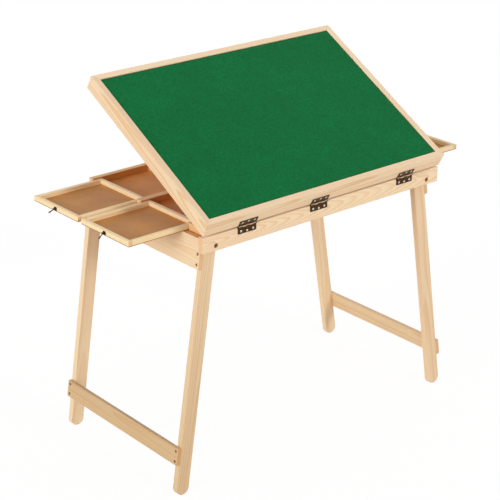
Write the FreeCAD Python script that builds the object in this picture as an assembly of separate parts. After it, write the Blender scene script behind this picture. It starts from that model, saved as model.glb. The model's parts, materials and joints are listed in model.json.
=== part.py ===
import FreeCAD, Part
import math
import os

# Folding jigsaw table with a tilting felt top, four shallow drawers and two folding leg frames.
# All sizes are in millimetres. X runs along the table, +Y to the rear and +Z up.
# While building, y = 0 is the front face of the front board; each shape is moved at the end so
# that the origin is on the floor, under the middle of the closed top.

# ---------------------------------------------------------------- the tilting top
top_width = 850.0
top_depth = 565.0
frame_height = 43.5
frame_thickness = 18.0
tilt_angle = 29.5
felt_recess = 2.0
felt_thickness = 1.5
panel_thickness = 5.0
cleat_size = 10.0
felt_margin = 0.5

# ---------------------------------------------------------------- the case
rear_overhang = 10.0
board_thickness = 17.0
front_board_height = 43.5
deck_thickness = 3.0
deck_groove_depth = 5.0
groove_clearance = 0.1
hinge_gap = 4.0
batten_height = 12.0
batten_width = 15.0
batten_margin = 3.0

# ---------------------------------------------------------------- leg frames
pivot_height = 695.5
pivot_inset = 44.0
splay_angle = 8.8
leg_width = 39.0
leg_thickness = 18.0
pivot_to_inner_edge = 15.0
leg_above_pivot = 11.0
rail_thickness = 12.0
rail_below_pivot = 67.5
stretcher_height = 49.0
stretcher_drop = 589.0
leg_side_gap = 1.0
fold_clearance = 0.8
stop_gap = 0.3

# ---------------------------------------------------------------- drawers and their guides
drawer_length = 221.0
drawer_height = 14.0
drawer_wall = 12.0
drawer_bottom_thickness = 2.0
drawer_face_inset = 1.0
slide_gap = 0.3
side_gap = 0.5
top_clearance = 0.7
guide_height = 19.0
guide_end_inset = 30.0
divider_thickness = 12.7
front_guide_start = 44.0
front_guide_width = 50.5
centre_guide_width = 15.0
rear_guide_width = 13.5
rear_guide_margin = 10.0
keeper_overhang = 3.0
divider_gap = 0.3

# how far each drawer stands out of the closed table
left_rear_pulled_length = 160.0
left_front_pulled_length = 160.0
right_front_pulled_length = 180.0
right_rear_pulled_length = 0.0

# ---------------------------------------------------------------- drawer pulls
plate_width = 12.0
plate_height = 11.0
plate_thickness = 1.2
plate_corner = 3.0
ear_thickness = 1.6
ear_radius = 2.0
ear_reach = 5.2
pull_pin_radius = 0.8
pull_pin_clearance = 0.08
drop_eye_radius = 2.1
drop_width = 3.6
drop_radius = 1.3
drop_length = 16.0
drop_ball_radius = 2.0
# angle of each drop below the level, 90 hanging straight down
drop_angle = {"left_rear": 20.0, "left_front": 42.0, "right_front": 90.0, "right_rear": 90.0}

# ---------------------------------------------------------------- hinges
hinge_places = (-280.0, -32.0, 289.0)
hinge_length = 61.0
leaf_height = 18.0
leaf_thickness = 1.5
barrel_radius = 2.6
hinge_pin_radius = 1.2
hinge_pin_clearance = 0.05
pin_cap_radius = 2.2
pin_cap_length = 1.6
knuckles = 5
knuckle_gap = 0.2
leaf_corner = 2.0
leaf_screw_spread = 20.0
leaf_screw_inset = 7.0
leaf_screw_stagger = 2.0
leaf_screw_head = 3.1
leaf_screw_proud = 0.6
leaf_screw_shank = 1.5
leaf_screw_tip_gap = 1.0

# ---------------------------------------------------------------- bolts and wood screws
bolt_radius = 3.0
bolt_running_clearance = 0.08
bolt_head_radius = 5.5
bolt_head_height = 4.0
bolt_socket_width = 5.0
bolt_socket_depth = 2.5
counterbore_radius = 6.5
counterbore_depth = 6.0
nut_width = 10.0
nut_height = 5.0
nut_flange_radius = 7.5
nut_flange_height = 1.2
nut_gap = 0.4
bolt_end = 2.0
spacer_radius = 8.0
spacer_gap = 0.2
wood_screw_head = 4.0
wood_screw_head_height = 2.4
wood_screw_recess = 1.0
wood_screw_shank = 2.1
wood_screw_length = 28.0
rail_screw_depths = (27.0, 55.8)
stretcher_screw_spread = 14.4

# ---------------------------------------------------------------- the prop under the top
prop_lead_angle = 5.0
prop_arm_width = 12.0
prop_arm_thickness = 12.0
prop_eye_radius = 9.0
prop_pin_radius = 3.0
prop_pin_clearance = 0.08
prop_dowel_radius = 7.0
prop_crossbar_height = 30.0
bracket_width = 12.0
bracket_length = 26.0
bracket_gap = 0.3
bracket_below_pin = 7.0
prop_pin_overrun = 2.0
rack_width = 14.0
rack_gap = 1.7
rack_pitch = 12.0
rack_slope_run = 9.0
rack_notch_width = 9.6
rack_tooth_depth = 3.4
rack_margin = 9.0
rack_to_rear_board = 26.5
rack_to_guides = 44.0
rack_dowel_gap = 0.3
dowel_overrun = 2.0
rear_rest_to_guides = 10.0
rear_rest_gap = 0.3

# tells two levels of one drawing apart
small_step = 0.01

# ---------------------------------------------------------------- levels, worked out upwards
deck_underside = pivot_height + pivot_to_inner_edge + fold_clearance
deck_top = deck_underside + deck_thickness
drawer_underside = deck_top + slide_gap
drawer_top = drawer_underside + drawer_height
closed_edge = drawer_top + top_clearance
front_board_top = closed_edge - hinge_gap
case_bottom = front_board_top - front_board_height
guide_top = deck_top + guide_height
keeper_underside = drawer_top + slide_gap

# ---------------------------------------------------------------- lines from front to rear
case_depth = top_depth - rear_overhang
board_back = board_thickness
rear_board_front = case_depth - board_thickness
rear_guide_end = case_depth - rear_guide_margin
rear_guide_start = rear_guide_end - rear_guide_width
front_channel = front_guide_start + front_guide_width + side_gap
drawer_width = (rear_guide_start - front_channel - centre_guide_width - 3.0 * side_gap) / 2.0
centre_guide_start = front_channel + drawer_width + side_gap
rear_channel = centre_guide_start + centre_guide_width + side_gap
leaf_screw_tip = board_back - deck_groove_depth - leaf_screw_tip_gap

# ---------------------------------------------------------------- places from the middle outwards
half_width = top_width / 2.0
pivot_offset = half_width - pivot_inset
guide_half_length = half_width - guide_end_inset
drawer_closed_face = half_width - drawer_face_inset
drawer_inner_end = drawer_closed_face - drawer_length
divider_outer = drawer_inner_end - divider_gap
guide_inner_end = divider_outer - divider_thickness
rear_rest_half_length = guide_inner_end - rear_rest_to_guides
rack_start_x = guide_inner_end - rack_to_guides - rack_width
prop_arm_place = rack_start_x - rack_gap - prop_arm_width

# ---------------------------------------------------------------- hinge axis of the top
hinge_y = -barrel_radius
hinge_z = (front_board_top + closed_edge) / 2.0

# ---------------------------------------------------------------- leg frame, drawn with upright legs
splay = math.radians(splay_angle)
leg_outer_edge = leg_width - pivot_to_inner_edge
leg_middle = (leg_outer_edge - pivot_to_inner_edge) / 2.0
foot_radius = leg_width / 2.0
foot_drop = (pivot_height + leg_middle * math.sin(splay) - foot_radius) / math.cos(splay)
rail_outer_face = leg_outer_edge + rail_thickness
rail_above_pivot = (deck_top - pivot_height - rail_outer_face * math.sin(splay)) / math.cos(splay)
rail_inner_corner = pivot_offset + leg_outer_edge * math.cos(splay) - rail_above_pivot * math.sin(splay)
deck_half_length = rail_inner_corner - stop_gap

to_origin = FreeCAD.Vector(0, -top_depth / 2.0, 0)
x_axis = FreeCAD.Vector(1, 0, 0)
y_axis = FreeCAD.Vector(0, 1, 0)
z_axis = FreeCAD.Vector(0, 0, 1)
no_move = FreeCAD.Vector(0, 0, 0)


# ================================================================ shape helpers
def block(x0, x1, y0, y1, z0, z1):
    """A box between two corners, given as low and high values."""
    return Part.makeBox(x1 - x0, y1 - y0, z1 - z0, FreeCAD.Vector(x0, y0, z0))


def rod(radius, start, end):
    """A round bar from one point to another."""
    a = FreeCAD.Vector(*start)
    b = FreeCAD.Vector(*end)
    return Part.makeCylinder(radius, (b - a).Length, a, b - a)


def prism(corners, direction):
    """A straight-sided solid: a closed outline of points, carried along a vector."""
    points = [FreeCAD.Vector(*corner) for corner in corners]
    outline = Part.makePolygon(points + points[:1])
    return Part.Face(outline).extrude(FreeCAD.Vector(*direction))


def hexagon(width, start, end):
    """A hexagonal bar along Y, given its width across the flats."""
    corner = width / math.sqrt(3.0)
    points = []
    for k in range(6):
        angle = math.radians(60 * k)
        points.append((start[0] + corner * math.cos(angle), start[1], start[2] + corner * math.sin(angle)))
    return prism(points, (0, end - start[1], 0))


def mirrored(shape):
    """The same shape on the other side of the table's middle."""
    return shape.mirror(no_move, x_axis)


def cut_all(shape, tools):
    """The shape with every tool taken out of it."""
    for tool in tools:
        shape = shape.cut(tool)
    return shape


def joined(shapes):
    """One solid from shapes that share faces."""
    whole = shapes[0]
    for shape in shapes[1:]:
        whole = whole.fuse(shape)
    return whole.removeSplitter()


def save(name, solids):
    """Write one named piece, or one group of like pieces, as a STEP file."""
    moved = []
    for solid in solids:
        copy = solid.copy()
        copy.translate(to_origin)
        moved.append(copy)
    shape = moved[0] if len(moved) == 1 else Part.makeCompound(moved)
    shape.exportStep("parts/" + name + ".step")


def tilted(shape):
    """A shape drawn on the closed top, turned up to the stored tilt."""
    copy = shape.copy()
    copy.rotate(FreeCAD.Vector(0, hinge_y, hinge_z), x_axis, tilt_angle)
    return copy


# ================================================================ fasteners
def bolt_points(leg_y0, leg_y1):
    """Where the pivot bolt of one leg starts and which way it runs."""
    if leg_y0 < case_depth / 2.0:
        return 0.0, leg_y1, 1.0
    return case_depth, leg_y0, -1.0


def pivot_bolt(x, leg_y0, leg_y1):
    """A socket-head bolt through a board and one leg, along Y."""
    face, far, way = bolt_points(leg_y0, leg_y1)
    head_in = face + way * (counterbore_depth - bolt_head_height)
    head_out = face + way * counterbore_depth
    tip = far + way * (nut_gap + nut_flange_height + nut_height + bolt_end)
    head = rod(bolt_head_radius, (x, head_in, pivot_height), (x, head_out, pivot_height))
    socket = hexagon(bolt_socket_width, (x, head_in, pivot_height), head_in + way * bolt_socket_depth)
    shank = rod(bolt_radius, (x, head_out, pivot_height), (x, tip, pivot_height))
    return joined([head.cut(socket), shank])


def pivot_recess(x, leg_y0, leg_y1):
    """The round recess in a board that takes a bolt head."""
    face, _, way = bolt_points(leg_y0, leg_y1)
    return rod(counterbore_radius, (x, face, pivot_height), (x, face + way * counterbore_depth, pivot_height))


def pivot_nut(x, leg_y0, leg_y1):
    """A flanged nut on the inner side of a leg."""
    _, far, way = bolt_points(leg_y0, leg_y1)
    start = far + way * nut_gap
    seat = start + way * nut_flange_height
    end = seat + way * nut_height
    flange = rod(nut_flange_radius, (x, start, pivot_height), (x, seat, pivot_height))
    body = hexagon(nut_width, (x, seat, pivot_height), end)
    bore = rod(bolt_radius, (x, start, pivot_height), (x, end, pivot_height))
    return joined([flange, body]).cut(bore)


def rail_screw(y, z):
    """A wood screw through a rail into a leg, in the upright leg's own axes."""
    recess_end = -rail_outer_face + wood_screw_recess
    head_end = recess_end + wood_screw_head_height
    tip = recess_end + wood_screw_length
    head = rod(wood_screw_head, (recess_end, y, z), (head_end, y, z))
    shank = rod(wood_screw_shank, (head_end, y, z), (tip, y, z))
    return joined([head, shank])


def rail_screw_recess(y, z):
    """The round recess over a wood screw's head."""
    start = -rail_outer_face
    return rod(wood_screw_head, (start, y, z), (start + wood_screw_recess, y, z))


def leaf_screw(x, z):
    """A screw through a hinge leaf into the front face of a board."""
    head_front = -leaf_thickness - leaf_screw_proud
    head = rod(leaf_screw_head, (x, head_front, z), (x, -leaf_thickness / 2.0, z))
    shank = rod(leaf_screw_shank, (x, -leaf_thickness / 2.0, z), (x, leaf_screw_tip, z))
    return joined([head, shank])


# ================================================================ leg frames
def upright_leg(y0, y1):
    """One leg with its pivot at the origin: round foot, and a top eased to turn under the deck."""
    inner = pivot_to_inner_edge
    outer = -leg_outer_edge
    top = leg_above_pivot
    shoulder = math.sqrt(inner ** 2 - top ** 2)
    middle_angle = math.atan2(top, shoulder) / 2.0

    def at(x, z):
        return FreeCAD.Vector(x, y0, z)

    edges = [
        Part.LineSegment(at(inner, -foot_drop), at(inner, 0)).toShape(),
        Part.Arc(at(inner, 0), at(inner * math.cos(middle_angle), inner * math.sin(middle_angle)),
                 at(shoulder, top)).toShape(),
        Part.LineSegment(at(shoulder, top), at(outer, top)).toShape(),
        Part.LineSegment(at(outer, top), at(outer, -foot_drop)).toShape(),
        Part.Arc(at(outer, -foot_drop), at(-leg_middle, -foot_drop - foot_radius),
                 at(inner, -foot_drop)).toShape(),
    ]
    leg = Part.Face(Part.Wire(edges)).extrude(FreeCAD.Vector(0, y1 - y0, 0))
    return leg.cut(rod(bolt_radius + bolt_running_clearance, (0, y0, 0), (0, y1, 0)))


def in_place(shape, on_left):
    """Lean an upright leg-frame piece outwards and hang it on its pivot."""
    copy = shape.copy()
    copy.rotate(no_move, y_axis, splay_angle)
    copy.translate(FreeCAD.Vector(-pivot_offset, 0, pivot_height))
    return copy if on_left else mirrored(copy)


def leg_frame(side, on_left, inset):
    """Two legs, their upper rail and lower stretcher, and the screws."""
    front_y0 = board_back + leg_side_gap + inset
    front_y1 = front_y0 + leg_thickness
    rear_y1 = rear_board_front - leg_side_gap - inset
    rear_y0 = rear_y1 - leg_thickness
    screws = []
    recesses = []
    for y in ((front_y0 + front_y1) / 2.0, (rear_y0 + rear_y1) / 2.0):
        depths = list(rail_screw_depths)
        depths += [stretcher_drop - stretcher_screw_spread, stretcher_drop + stretcher_screw_spread]
        for depth in depths:
            screws.append(rail_screw(y, -depth))
            recesses.append(rail_screw_recess(y, -depth))
    rail = block(-rail_outer_face, -leg_outer_edge, front_y0, rear_y1, -rail_below_pivot, rail_above_pivot)
    stretcher = block(-rail_outer_face, -leg_outer_edge, front_y0, rear_y1,
                      -stretcher_drop - stretcher_height / 2.0, -stretcher_drop + stretcher_height / 2.0)
    front_leg = cut_all(upright_leg(front_y0, front_y1), screws)
    rear_leg = cut_all(upright_leg(rear_y0, rear_y1), screws)
    rail = cut_all(rail, screws + recesses)
    stretcher = cut_all(stretcher, screws + recesses)
    save(side + "_front_leg", [in_place(front_leg, on_left)])
    save(side + "_rear_leg", [in_place(rear_leg, on_left)])
    save(side + "_upper_rail", [in_place(rail, on_left)])
    save(side + "_lower_stretcher", [in_place(stretcher, on_left)])
    save(side + "_frame_screws", [in_place(screw, on_left) for screw in screws])
    return (front_y0, front_y1), (rear_y0, rear_y1)


# ================================================================ hinges
def knuckle_spans(place, lower):
    """The stretches of barrel that belong to the lower leaf or to the upper one."""
    step = hinge_length / knuckles
    start = place - hinge_length / 2.0
    first = 0 if lower else 1
    spans = []
    for k in range(first, knuckles, 2):
        spans.append((start + k * step + knuckle_gap / 2.0, start + (k + 1) * step - knuckle_gap / 2.0))
    return spans


def hinge_leaf(place, lower):
    """One leaf on the front face with its knuckles, drawn with the top closed."""
    way = -1.0 if lower else 1.0
    near = hinge_z + way * (barrel_radius + knuckle_gap)
    far = (front_board_top if lower else closed_edge) + way * leaf_height
    low, high = min(near, far), max(near, far)
    left = place - hinge_length / 2.0
    right = place + hinge_length / 2.0
    plate = block(left, right, -leaf_thickness, 0, low, high)
    rounded = [edge for edge in plate.Edges if is_outer_corner(edge, far)]
    pieces = [plate.makeFillet(leaf_corner, rounded)]
    for x0, x1 in knuckle_spans(place, lower):
        pieces.append(block(x0, x1, -leaf_thickness, 0, min(near, hinge_z), max(near, hinge_z)))
        pieces.append(rod(barrel_radius, (x0, hinge_y, hinge_z), (x1, hinge_y, hinge_z)))
    bore = rod(hinge_pin_radius + hinge_pin_clearance, (left, hinge_y, hinge_z), (right, hinge_y, hinge_z))
    return joined(pieces).cut(bore)


def is_outer_corner(edge, level):
    """True for the short edges of a leaf plate at its free end."""
    ends = [vertex.Point for vertex in edge.Vertexes]
    along_y = abs(ends[0].x - ends[1].x) < small_step and abs(ends[0].z - ends[1].z) < small_step
    return along_y and abs(ends[0].z - level) < small_step


def hinge_pin(place):
    """The pin through one hinge's barrel, with a round cap on each end."""
    left = place - hinge_length / 2.0
    right = place + hinge_length / 2.0
    shank = rod(hinge_pin_radius, (left, hinge_y, hinge_z), (right, hinge_y, hinge_z))
    left_cap = rod(pin_cap_radius, (left - pin_cap_length, hinge_y, hinge_z), (left, hinge_y, hinge_z))
    right_cap = rod(pin_cap_radius, (right, hinge_y, hinge_z), (right + pin_cap_length, hinge_y, hinge_z))
    return joined([left_cap, shank, right_cap])


def leaf_screws(lower):
    """Three screws in each leaf, the middle one set nearer the leaf's free edge."""
    way = -1.0 if lower else 1.0
    edge = (front_board_top if lower else closed_edge) + way * leaf_height
    screws = []
    for place in hinge_places:
        for step in (-1, 0, 1):
            inset = leaf_screw_inset - (leaf_screw_stagger if step == 0 else 0.0)
            screws.append(leaf_screw(place + step * leaf_screw_spread, edge - way * inset))
    return screws


# ================================================================ the case
def case(bolts, recesses, nuts, spacers):
    """Boards, deck, battens, guides, dividers, racks, rest strip and the fixed half of the hinges."""
    screws = leaf_screws(True)
    front_board = block(-half_width, half_width, 0, board_back, case_bottom, front_board_top)
    groove = block(-deck_half_length - groove_clearance, deck_half_length + groove_clearance,
                   board_back - deck_groove_depth, board_back,
                   deck_underside - groove_clearance, deck_top + groove_clearance)
    front_board = cut_all(front_board.cut(groove), recesses + bolts + screws)
    rear_board = block(-half_width, half_width, rear_board_front, case_depth, case_bottom, deck_underside)
    rear_board = cut_all(rear_board, recesses + bolts)
    deck = block(-deck_half_length, deck_half_length, board_back - deck_groove_depth + groove_clearance,
                 case_depth, deck_underside, deck_top)
    save("front_board", [front_board])
    save("rear_board", [rear_board])
    save("deck", [deck])
    save("deck_battens", deck_battens())
    save("drawer_guides", drawer_guides())
    save("bay_dividers", bay_dividers())
    save("prop_racks", prop_racks())
    save("rear_rest", [block(-rear_rest_half_length, rear_rest_half_length, rear_board_front, case_depth,
                             deck_top, closed_edge - rear_rest_gap)])
    save("leg_bolts", bolts)
    save("leg_nuts", nuts)
    save("leg_spacers", spacers)
    save("hinge_leaves_lower", [cut_all(hinge_leaf(place, True), screws) for place in hinge_places])
    save("hinge_pins", [hinge_pin(place) for place in hinge_places])
    save("hinge_screws_lower", screws)


def deck_battens():
    """Four battens under the deck: one at each end, where a leg frame stops, and two between."""
    start = board_back + 2.0 * (leg_side_gap + leg_thickness) + batten_margin
    end = rear_board_front - 2.0 * (leg_side_gap + leg_thickness) - batten_margin
    low = deck_underside - batten_height
    battens = []
    for outer in (deck_half_length, guide_inner_end + batten_width):
        batten = block(outer - batten_width, outer, start, end, low, deck_underside)
        battens += [batten, mirrored(batten)]
    return battens


def guide(y0, y1, front_lip, rear_lip):
    """A guide batten on the deck with keeper lips over the drawers beside it."""
    lip_front = y0 - (keeper_overhang if front_lip else 0.0)
    lip_rear = y1 + (keeper_overhang if rear_lip else 0.0)
    web = block(guide_inner_end, guide_half_length, y0, y1, deck_top, keeper_underside)
    cap = block(guide_inner_end, guide_half_length, lip_front, lip_rear, keeper_underside, guide_top)
    return joined([web, cap])


def drawer_guides():
    """Front, centre and rear guides on each side of the middle bay."""
    guides = []
    rows = (
        (front_guide_start, front_channel - side_gap, False, True),
        (centre_guide_start, rear_channel - side_gap, True, True),
        (rear_guide_start, rear_guide_end, True, False),
    )
    for row in rows:
        batten = guide(*row)
        guides += [batten, mirrored(batten)]
    return guides


def bay_dividers():
    """Short strips across each channel that stop a closed drawer."""
    strips = []
    for start in (front_channel, rear_channel):
        strip = block(guide_inner_end, divider_outer, start - side_gap, start + drawer_width + side_gap,
                      deck_top, drawer_top)
        strips += [strip, mirrored(strip)]
    return strips


# ================================================================ the prop
foot_y_closed = rear_board_front - rack_to_rear_board - rack_margin - prop_dowel_radius
prop_length = (foot_y_closed - hinge_y) / (2.0 * math.cos(math.radians(prop_lead_angle)))
prop_pivot_y = hinge_y + prop_length * math.cos(math.radians(prop_lead_angle))
prop_pivot_z = hinge_z + prop_length * math.sin(math.radians(prop_lead_angle))
prop_slope = prop_lead_angle + tilt_angle
foot_y_raised = hinge_y + 2.0 * prop_length * math.cos(math.radians(prop_slope))


def prop_racks():
    """Two toothed strips on the deck under the ends of the foot dowel."""
    start = foot_y_raised - prop_dowel_radius - rack_margin
    end = foot_y_closed + prop_dowel_radius + rack_margin
    crest = hinge_z - prop_dowel_radius - rack_dowel_gap
    corners = [(rack_start_x, start, deck_top), (rack_start_x, start, crest)]
    tooth = start + rack_pitch / 2.0
    while tooth + rack_pitch < end:
        corners.append((rack_start_x, tooth, crest))
        corners.append((rack_start_x, tooth + rack_slope_run, crest - rack_tooth_depth))
        corners.append((rack_start_x, tooth + rack_notch_width, crest))
        tooth += rack_pitch
    corners += [(rack_start_x, end, crest), (rack_start_x, end, deck_top)]
    rack = prism(corners, (rack_width, 0, 0))
    return [rack, mirrored(rack)]


def prop_arm(hole_radius):
    """One arm, level, from its pivot at the origin to the foot dowel along +Y."""
    x0 = prop_arm_place
    x1 = prop_arm_place + prop_arm_width
    half = prop_arm_thickness / 2.0
    bar = block(x0, x1, 0, prop_length, -half, half)
    pivot_eye = rod(prop_eye_radius, (x0, 0, 0), (x1, 0, 0))
    foot_eye = rod(prop_eye_radius, (x0, prop_length, 0), (x1, prop_length, 0))
    arm = joined([bar, pivot_eye, foot_eye])
    arm = arm.cut(rod(hole_radius, (x0, 0, 0), (x1, 0, 0)))
    return arm.cut(rod(prop_dowel_radius, (x0, prop_length, 0), (x1, prop_length, 0)))


def raised_prop(shape):
    """Hang a level prop piece on the raised top's pivot and lean it down to the racks."""
    copy = shape.copy()
    copy.rotate(no_move, x_axis, -prop_slope)
    slope = math.radians(prop_slope)
    pivot = FreeCAD.Vector(0, hinge_y + prop_length * math.cos(slope), hinge_z + prop_length * math.sin(slope))
    copy.translate(pivot)
    return copy


def prop():
    """Two arms, a crossbar between them and the foot dowel."""
    arm = prop_arm(prop_pin_radius + prop_pin_clearance)
    middle = prop_length / 2.0
    half = prop_arm_thickness / 2.0
    crossbar = block(-prop_arm_place, prop_arm_place, middle, middle + prop_crossbar_height, -half, half)
    reach = rack_start_x + rack_width + dowel_overrun
    dowel = rod(prop_dowel_radius, (-reach, prop_length, 0), (reach, prop_length, 0))
    save("prop_arms", [raised_prop(arm), raised_prop(mirrored(arm))])
    save("prop_crossbar", [raised_prop(crossbar)])
    save("prop_foot_dowel", [raised_prop(dowel)])


def prop_brackets(panel_underside):
    """Two blocks under the panel that carry the prop, and the pins through them."""
    x1 = prop_arm_place - bracket_gap
    x0 = x1 - bracket_width
    half = bracket_length / 2.0
    bracket = block(x0, x1, prop_pivot_y - half, prop_pivot_y + half,
                    prop_pivot_z - bracket_below_pin, panel_underside)
    pin = rod(prop_pin_radius, (x0 - prop_pin_overrun, prop_pivot_y, prop_pivot_z),
              (prop_arm_place + prop_arm_width + prop_pin_overrun, prop_pivot_y, prop_pivot_z))
    bracket = bracket.cut(pin)
    brackets = [tilted(bracket), tilted(mirrored(bracket))]
    pins = [tilted(pin), tilted(mirrored(pin))]
    return brackets, pins


# ================================================================ the tilting top
def mitred_board(corners, screws):
    """One board of the top's frame: a plan outline with mitred ends, as tall as the frame."""
    plan = [(x, y, closed_edge) for x, y in corners]
    return cut_all(prism(plan, (0, 0, frame_height)), screws)


def tilting_top():
    """The mitred frame, the felt-covered panel on its cleats, and the moving half of the hinges."""
    screws = leaf_screws(False)
    inner_x = half_width - frame_thickness
    inner_front = frame_thickness
    inner_rear = top_depth - frame_thickness
    outer = [(-half_width, 0), (half_width, 0), (half_width, top_depth), (-half_width, top_depth)]
    inner = [(-inner_x, inner_front), (inner_x, inner_front), (inner_x, inner_rear), (-inner_x, inner_rear)]
    names = ("top_front_board", "top_right_board", "top_rear_board", "top_left_board")
    for k, name in enumerate(names):
        following = (k + 1) % 4
        corners = [outer[k], outer[following], inner[following], inner[k]]
        save(name, [tilted(mitred_board(corners, screws if k == 0 else []))])
    felt_top = closed_edge + frame_height - felt_recess
    panel_top = felt_top - felt_thickness
    panel_underside = panel_top - panel_thickness
    panel = block(-inner_x, inner_x, inner_front, inner_rear, panel_underside, panel_top)
    felt = block(-inner_x + felt_margin, inner_x - felt_margin, inner_front + felt_margin,
                 inner_rear - felt_margin, panel_top, felt_top)
    cleat_low = panel_underside - cleat_size
    front_cleat = block(-inner_x, inner_x, inner_front, inner_front + cleat_size, cleat_low, panel_underside)
    rear_cleat = block(-inner_x, inner_x, inner_rear - cleat_size, inner_rear, cleat_low, panel_underside)
    left_cleat = block(-inner_x, -inner_x + cleat_size, inner_front + cleat_size, inner_rear - cleat_size,
                       cleat_low, panel_underside)
    cleats = [front_cleat, rear_cleat, left_cleat, mirrored(left_cleat)]
    brackets, pins = prop_brackets(panel_underside)
    save("top_panel", [tilted(panel)])
    save("felt", [tilted(felt)])
    save("panel_cleats", [tilted(cleat) for cleat in cleats])
    save("hinge_leaves_upper", [tilted(cut_all(hinge_leaf(place, False), screws)) for place in hinge_places])
    save("hinge_screws_upper", [tilted(screw) for screw in screws])
    save("prop_brackets", brackets)
    save("prop_pivot_pins", pins)


# ================================================================ drawers
def pull_plate(middle_y, middle_z):
    """A small plate on a drawer's face with two ears and the pin between them."""
    face = drawer_closed_face
    pin_x = face + ear_reach
    half = plate_width / 2.0
    plate = block(face, face + plate_thickness, middle_y - half, middle_y + half,
                  middle_z - plate_height / 2.0, middle_z + plate_height / 2.0)
    corners = [edge for edge in plate.Edges
               if abs(edge.Vertexes[0].Point.x - edge.Vertexes[1].Point.x) > plate_thickness / 2.0]
    pieces = [plate.makeFillet(plate_corner, corners)]
    ear_start = drop_width / 2.0 + slide_gap
    for way in (-1, 1):
        y0 = middle_y + way * ear_start
        y1 = y0 + way * ear_thickness
        low, high = min(y0, y1), max(y0, y1)
        pieces.append(block(face + plate_thickness / 2.0, pin_x, low, high,
                            middle_z - ear_radius, middle_z + ear_radius))
        pieces.append(rod(ear_radius, (pin_x, low, middle_z), (pin_x, high, middle_z)))
    reach = ear_start + ear_thickness / 2.0
    pieces.append(rod(pull_pin_radius, (pin_x, middle_y - reach, middle_z), (pin_x, middle_y + reach, middle_z)))
    return joined(pieces)


def pull_drop(middle_y, middle_z, below_level):
    """The drop that hangs on the pin: an eye, a slim stem and a round end."""
    pin_x = drawer_closed_face + ear_reach
    half = drop_width / 2.0
    eye = rod(drop_eye_radius, (pin_x, middle_y - half, middle_z), (pin_x, middle_y + half, middle_z))
    stem = rod(drop_radius, (pin_x, middle_y, middle_z), (pin_x + drop_length, middle_y, middle_z))
    ball = Part.makeSphere(drop_ball_radius, FreeCAD.Vector(pin_x + drop_length, middle_y, middle_z))
    drop = joined([eye, stem, ball])
    hole = rod(pull_pin_radius + pull_pin_clearance, (pin_x, middle_y - half, middle_z),
               (pin_x, middle_y + half, middle_z))
    drop = drop.cut(hole)
    drop.rotate(FreeCAD.Vector(pin_x, middle_y, middle_z), y_axis, below_level)
    return drop


def drawer(name, on_left, start, pulled_out):
    """One shallow tray: four walls on a thin bottom as large as the tray, and its pull.

    It is drawn closed on the right and then put in its place.
    """
    x1 = drawer_closed_face
    x0 = drawer_inner_end
    y0 = start
    y1 = start + drawer_width
    z0 = drawer_underside
    z1 = drawer_top
    wall_low = z0 + drawer_bottom_thickness
    bottom = block(x0, x1, y0, y1, z0, wall_low)
    front = block(x1 - drawer_wall, x1, y0, y1, wall_low, z1)
    back = block(x0, x0 + drawer_wall, y0, y1, wall_low, z1)
    near_side = block(x0 + drawer_wall, x1 - drawer_wall, y0, y0 + drawer_wall, wall_low, z1)
    far_side = block(x0 + drawer_wall, x1 - drawer_wall, y1 - drawer_wall, y1, wall_low, z1)
    middle_y = (y0 + y1) / 2.0
    middle_z = (z0 + z1) / 2.0
    plate = pull_plate(middle_y, middle_z)
    drop = pull_drop(middle_y, middle_z, drop_angle[name])
    pieces = (
        ("ends", [front, back]),
        ("sides", [near_side, far_side]),
        ("bottom", [bottom]),
        ("pull_plate", [plate]),
        ("pull_drop", [drop]),
    )
    for part, solids in pieces:
        placed = []
        for solid in solids:
            copy = solid.copy()
            copy.translate(FreeCAD.Vector(pulled_out, 0, 0))
            placed.append(mirrored(copy) if on_left else copy)
        save(name + "_drawer_" + part if part in ("ends", "sides", "bottom") else name + "_" + part, placed)


# ================================================================ build
os.makedirs("parts", exist_ok=True)

left_legs = leg_frame("left", True, 0.0)
right_legs = leg_frame("right", False, leg_thickness + leg_side_gap)

leg_places = [(-pivot_offset, leg) for leg in left_legs] + [(pivot_offset, leg) for leg in right_legs]
pivot_bolts = [pivot_bolt(x, *leg) for x, leg in leg_places]
pivot_recesses = [pivot_recess(x, *leg) for x, leg in leg_places]
pivot_nuts = [pivot_nut(x, *leg) for x, leg in leg_places]

front_spacer_end = right_legs[0][0] - spacer_gap
rear_spacer_end = right_legs[1][1] + spacer_gap
spacer_tubes = [
    rod(spacer_radius, (pivot_offset, board_back, pivot_height),
        (pivot_offset, front_spacer_end, pivot_height)),
    rod(spacer_radius, (pivot_offset, rear_board_front, pivot_height),
        (pivot_offset, rear_spacer_end, pivot_height)),
]
spacer_tubes = [cut_all(tube, pivot_bolts) for tube in spacer_tubes]

case(pivot_bolts, pivot_recesses, pivot_nuts, spacer_tubes)
tilting_top()
prop()
drawer("left_front", True, front_channel, left_front_pulled_length)
drawer("left_rear", True, rear_channel, left_rear_pulled_length)
drawer("right_front", False, front_channel, right_front_pulled_length)
drawer("right_rear", False, rear_channel, right_rear_pulled_length)
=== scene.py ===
import json
import math
import random

import bmesh
import bpy
from bpy.props import FloatProperty, FloatVectorProperty, IntProperty, PointerProperty
from mathutils import Matrix, Vector


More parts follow.
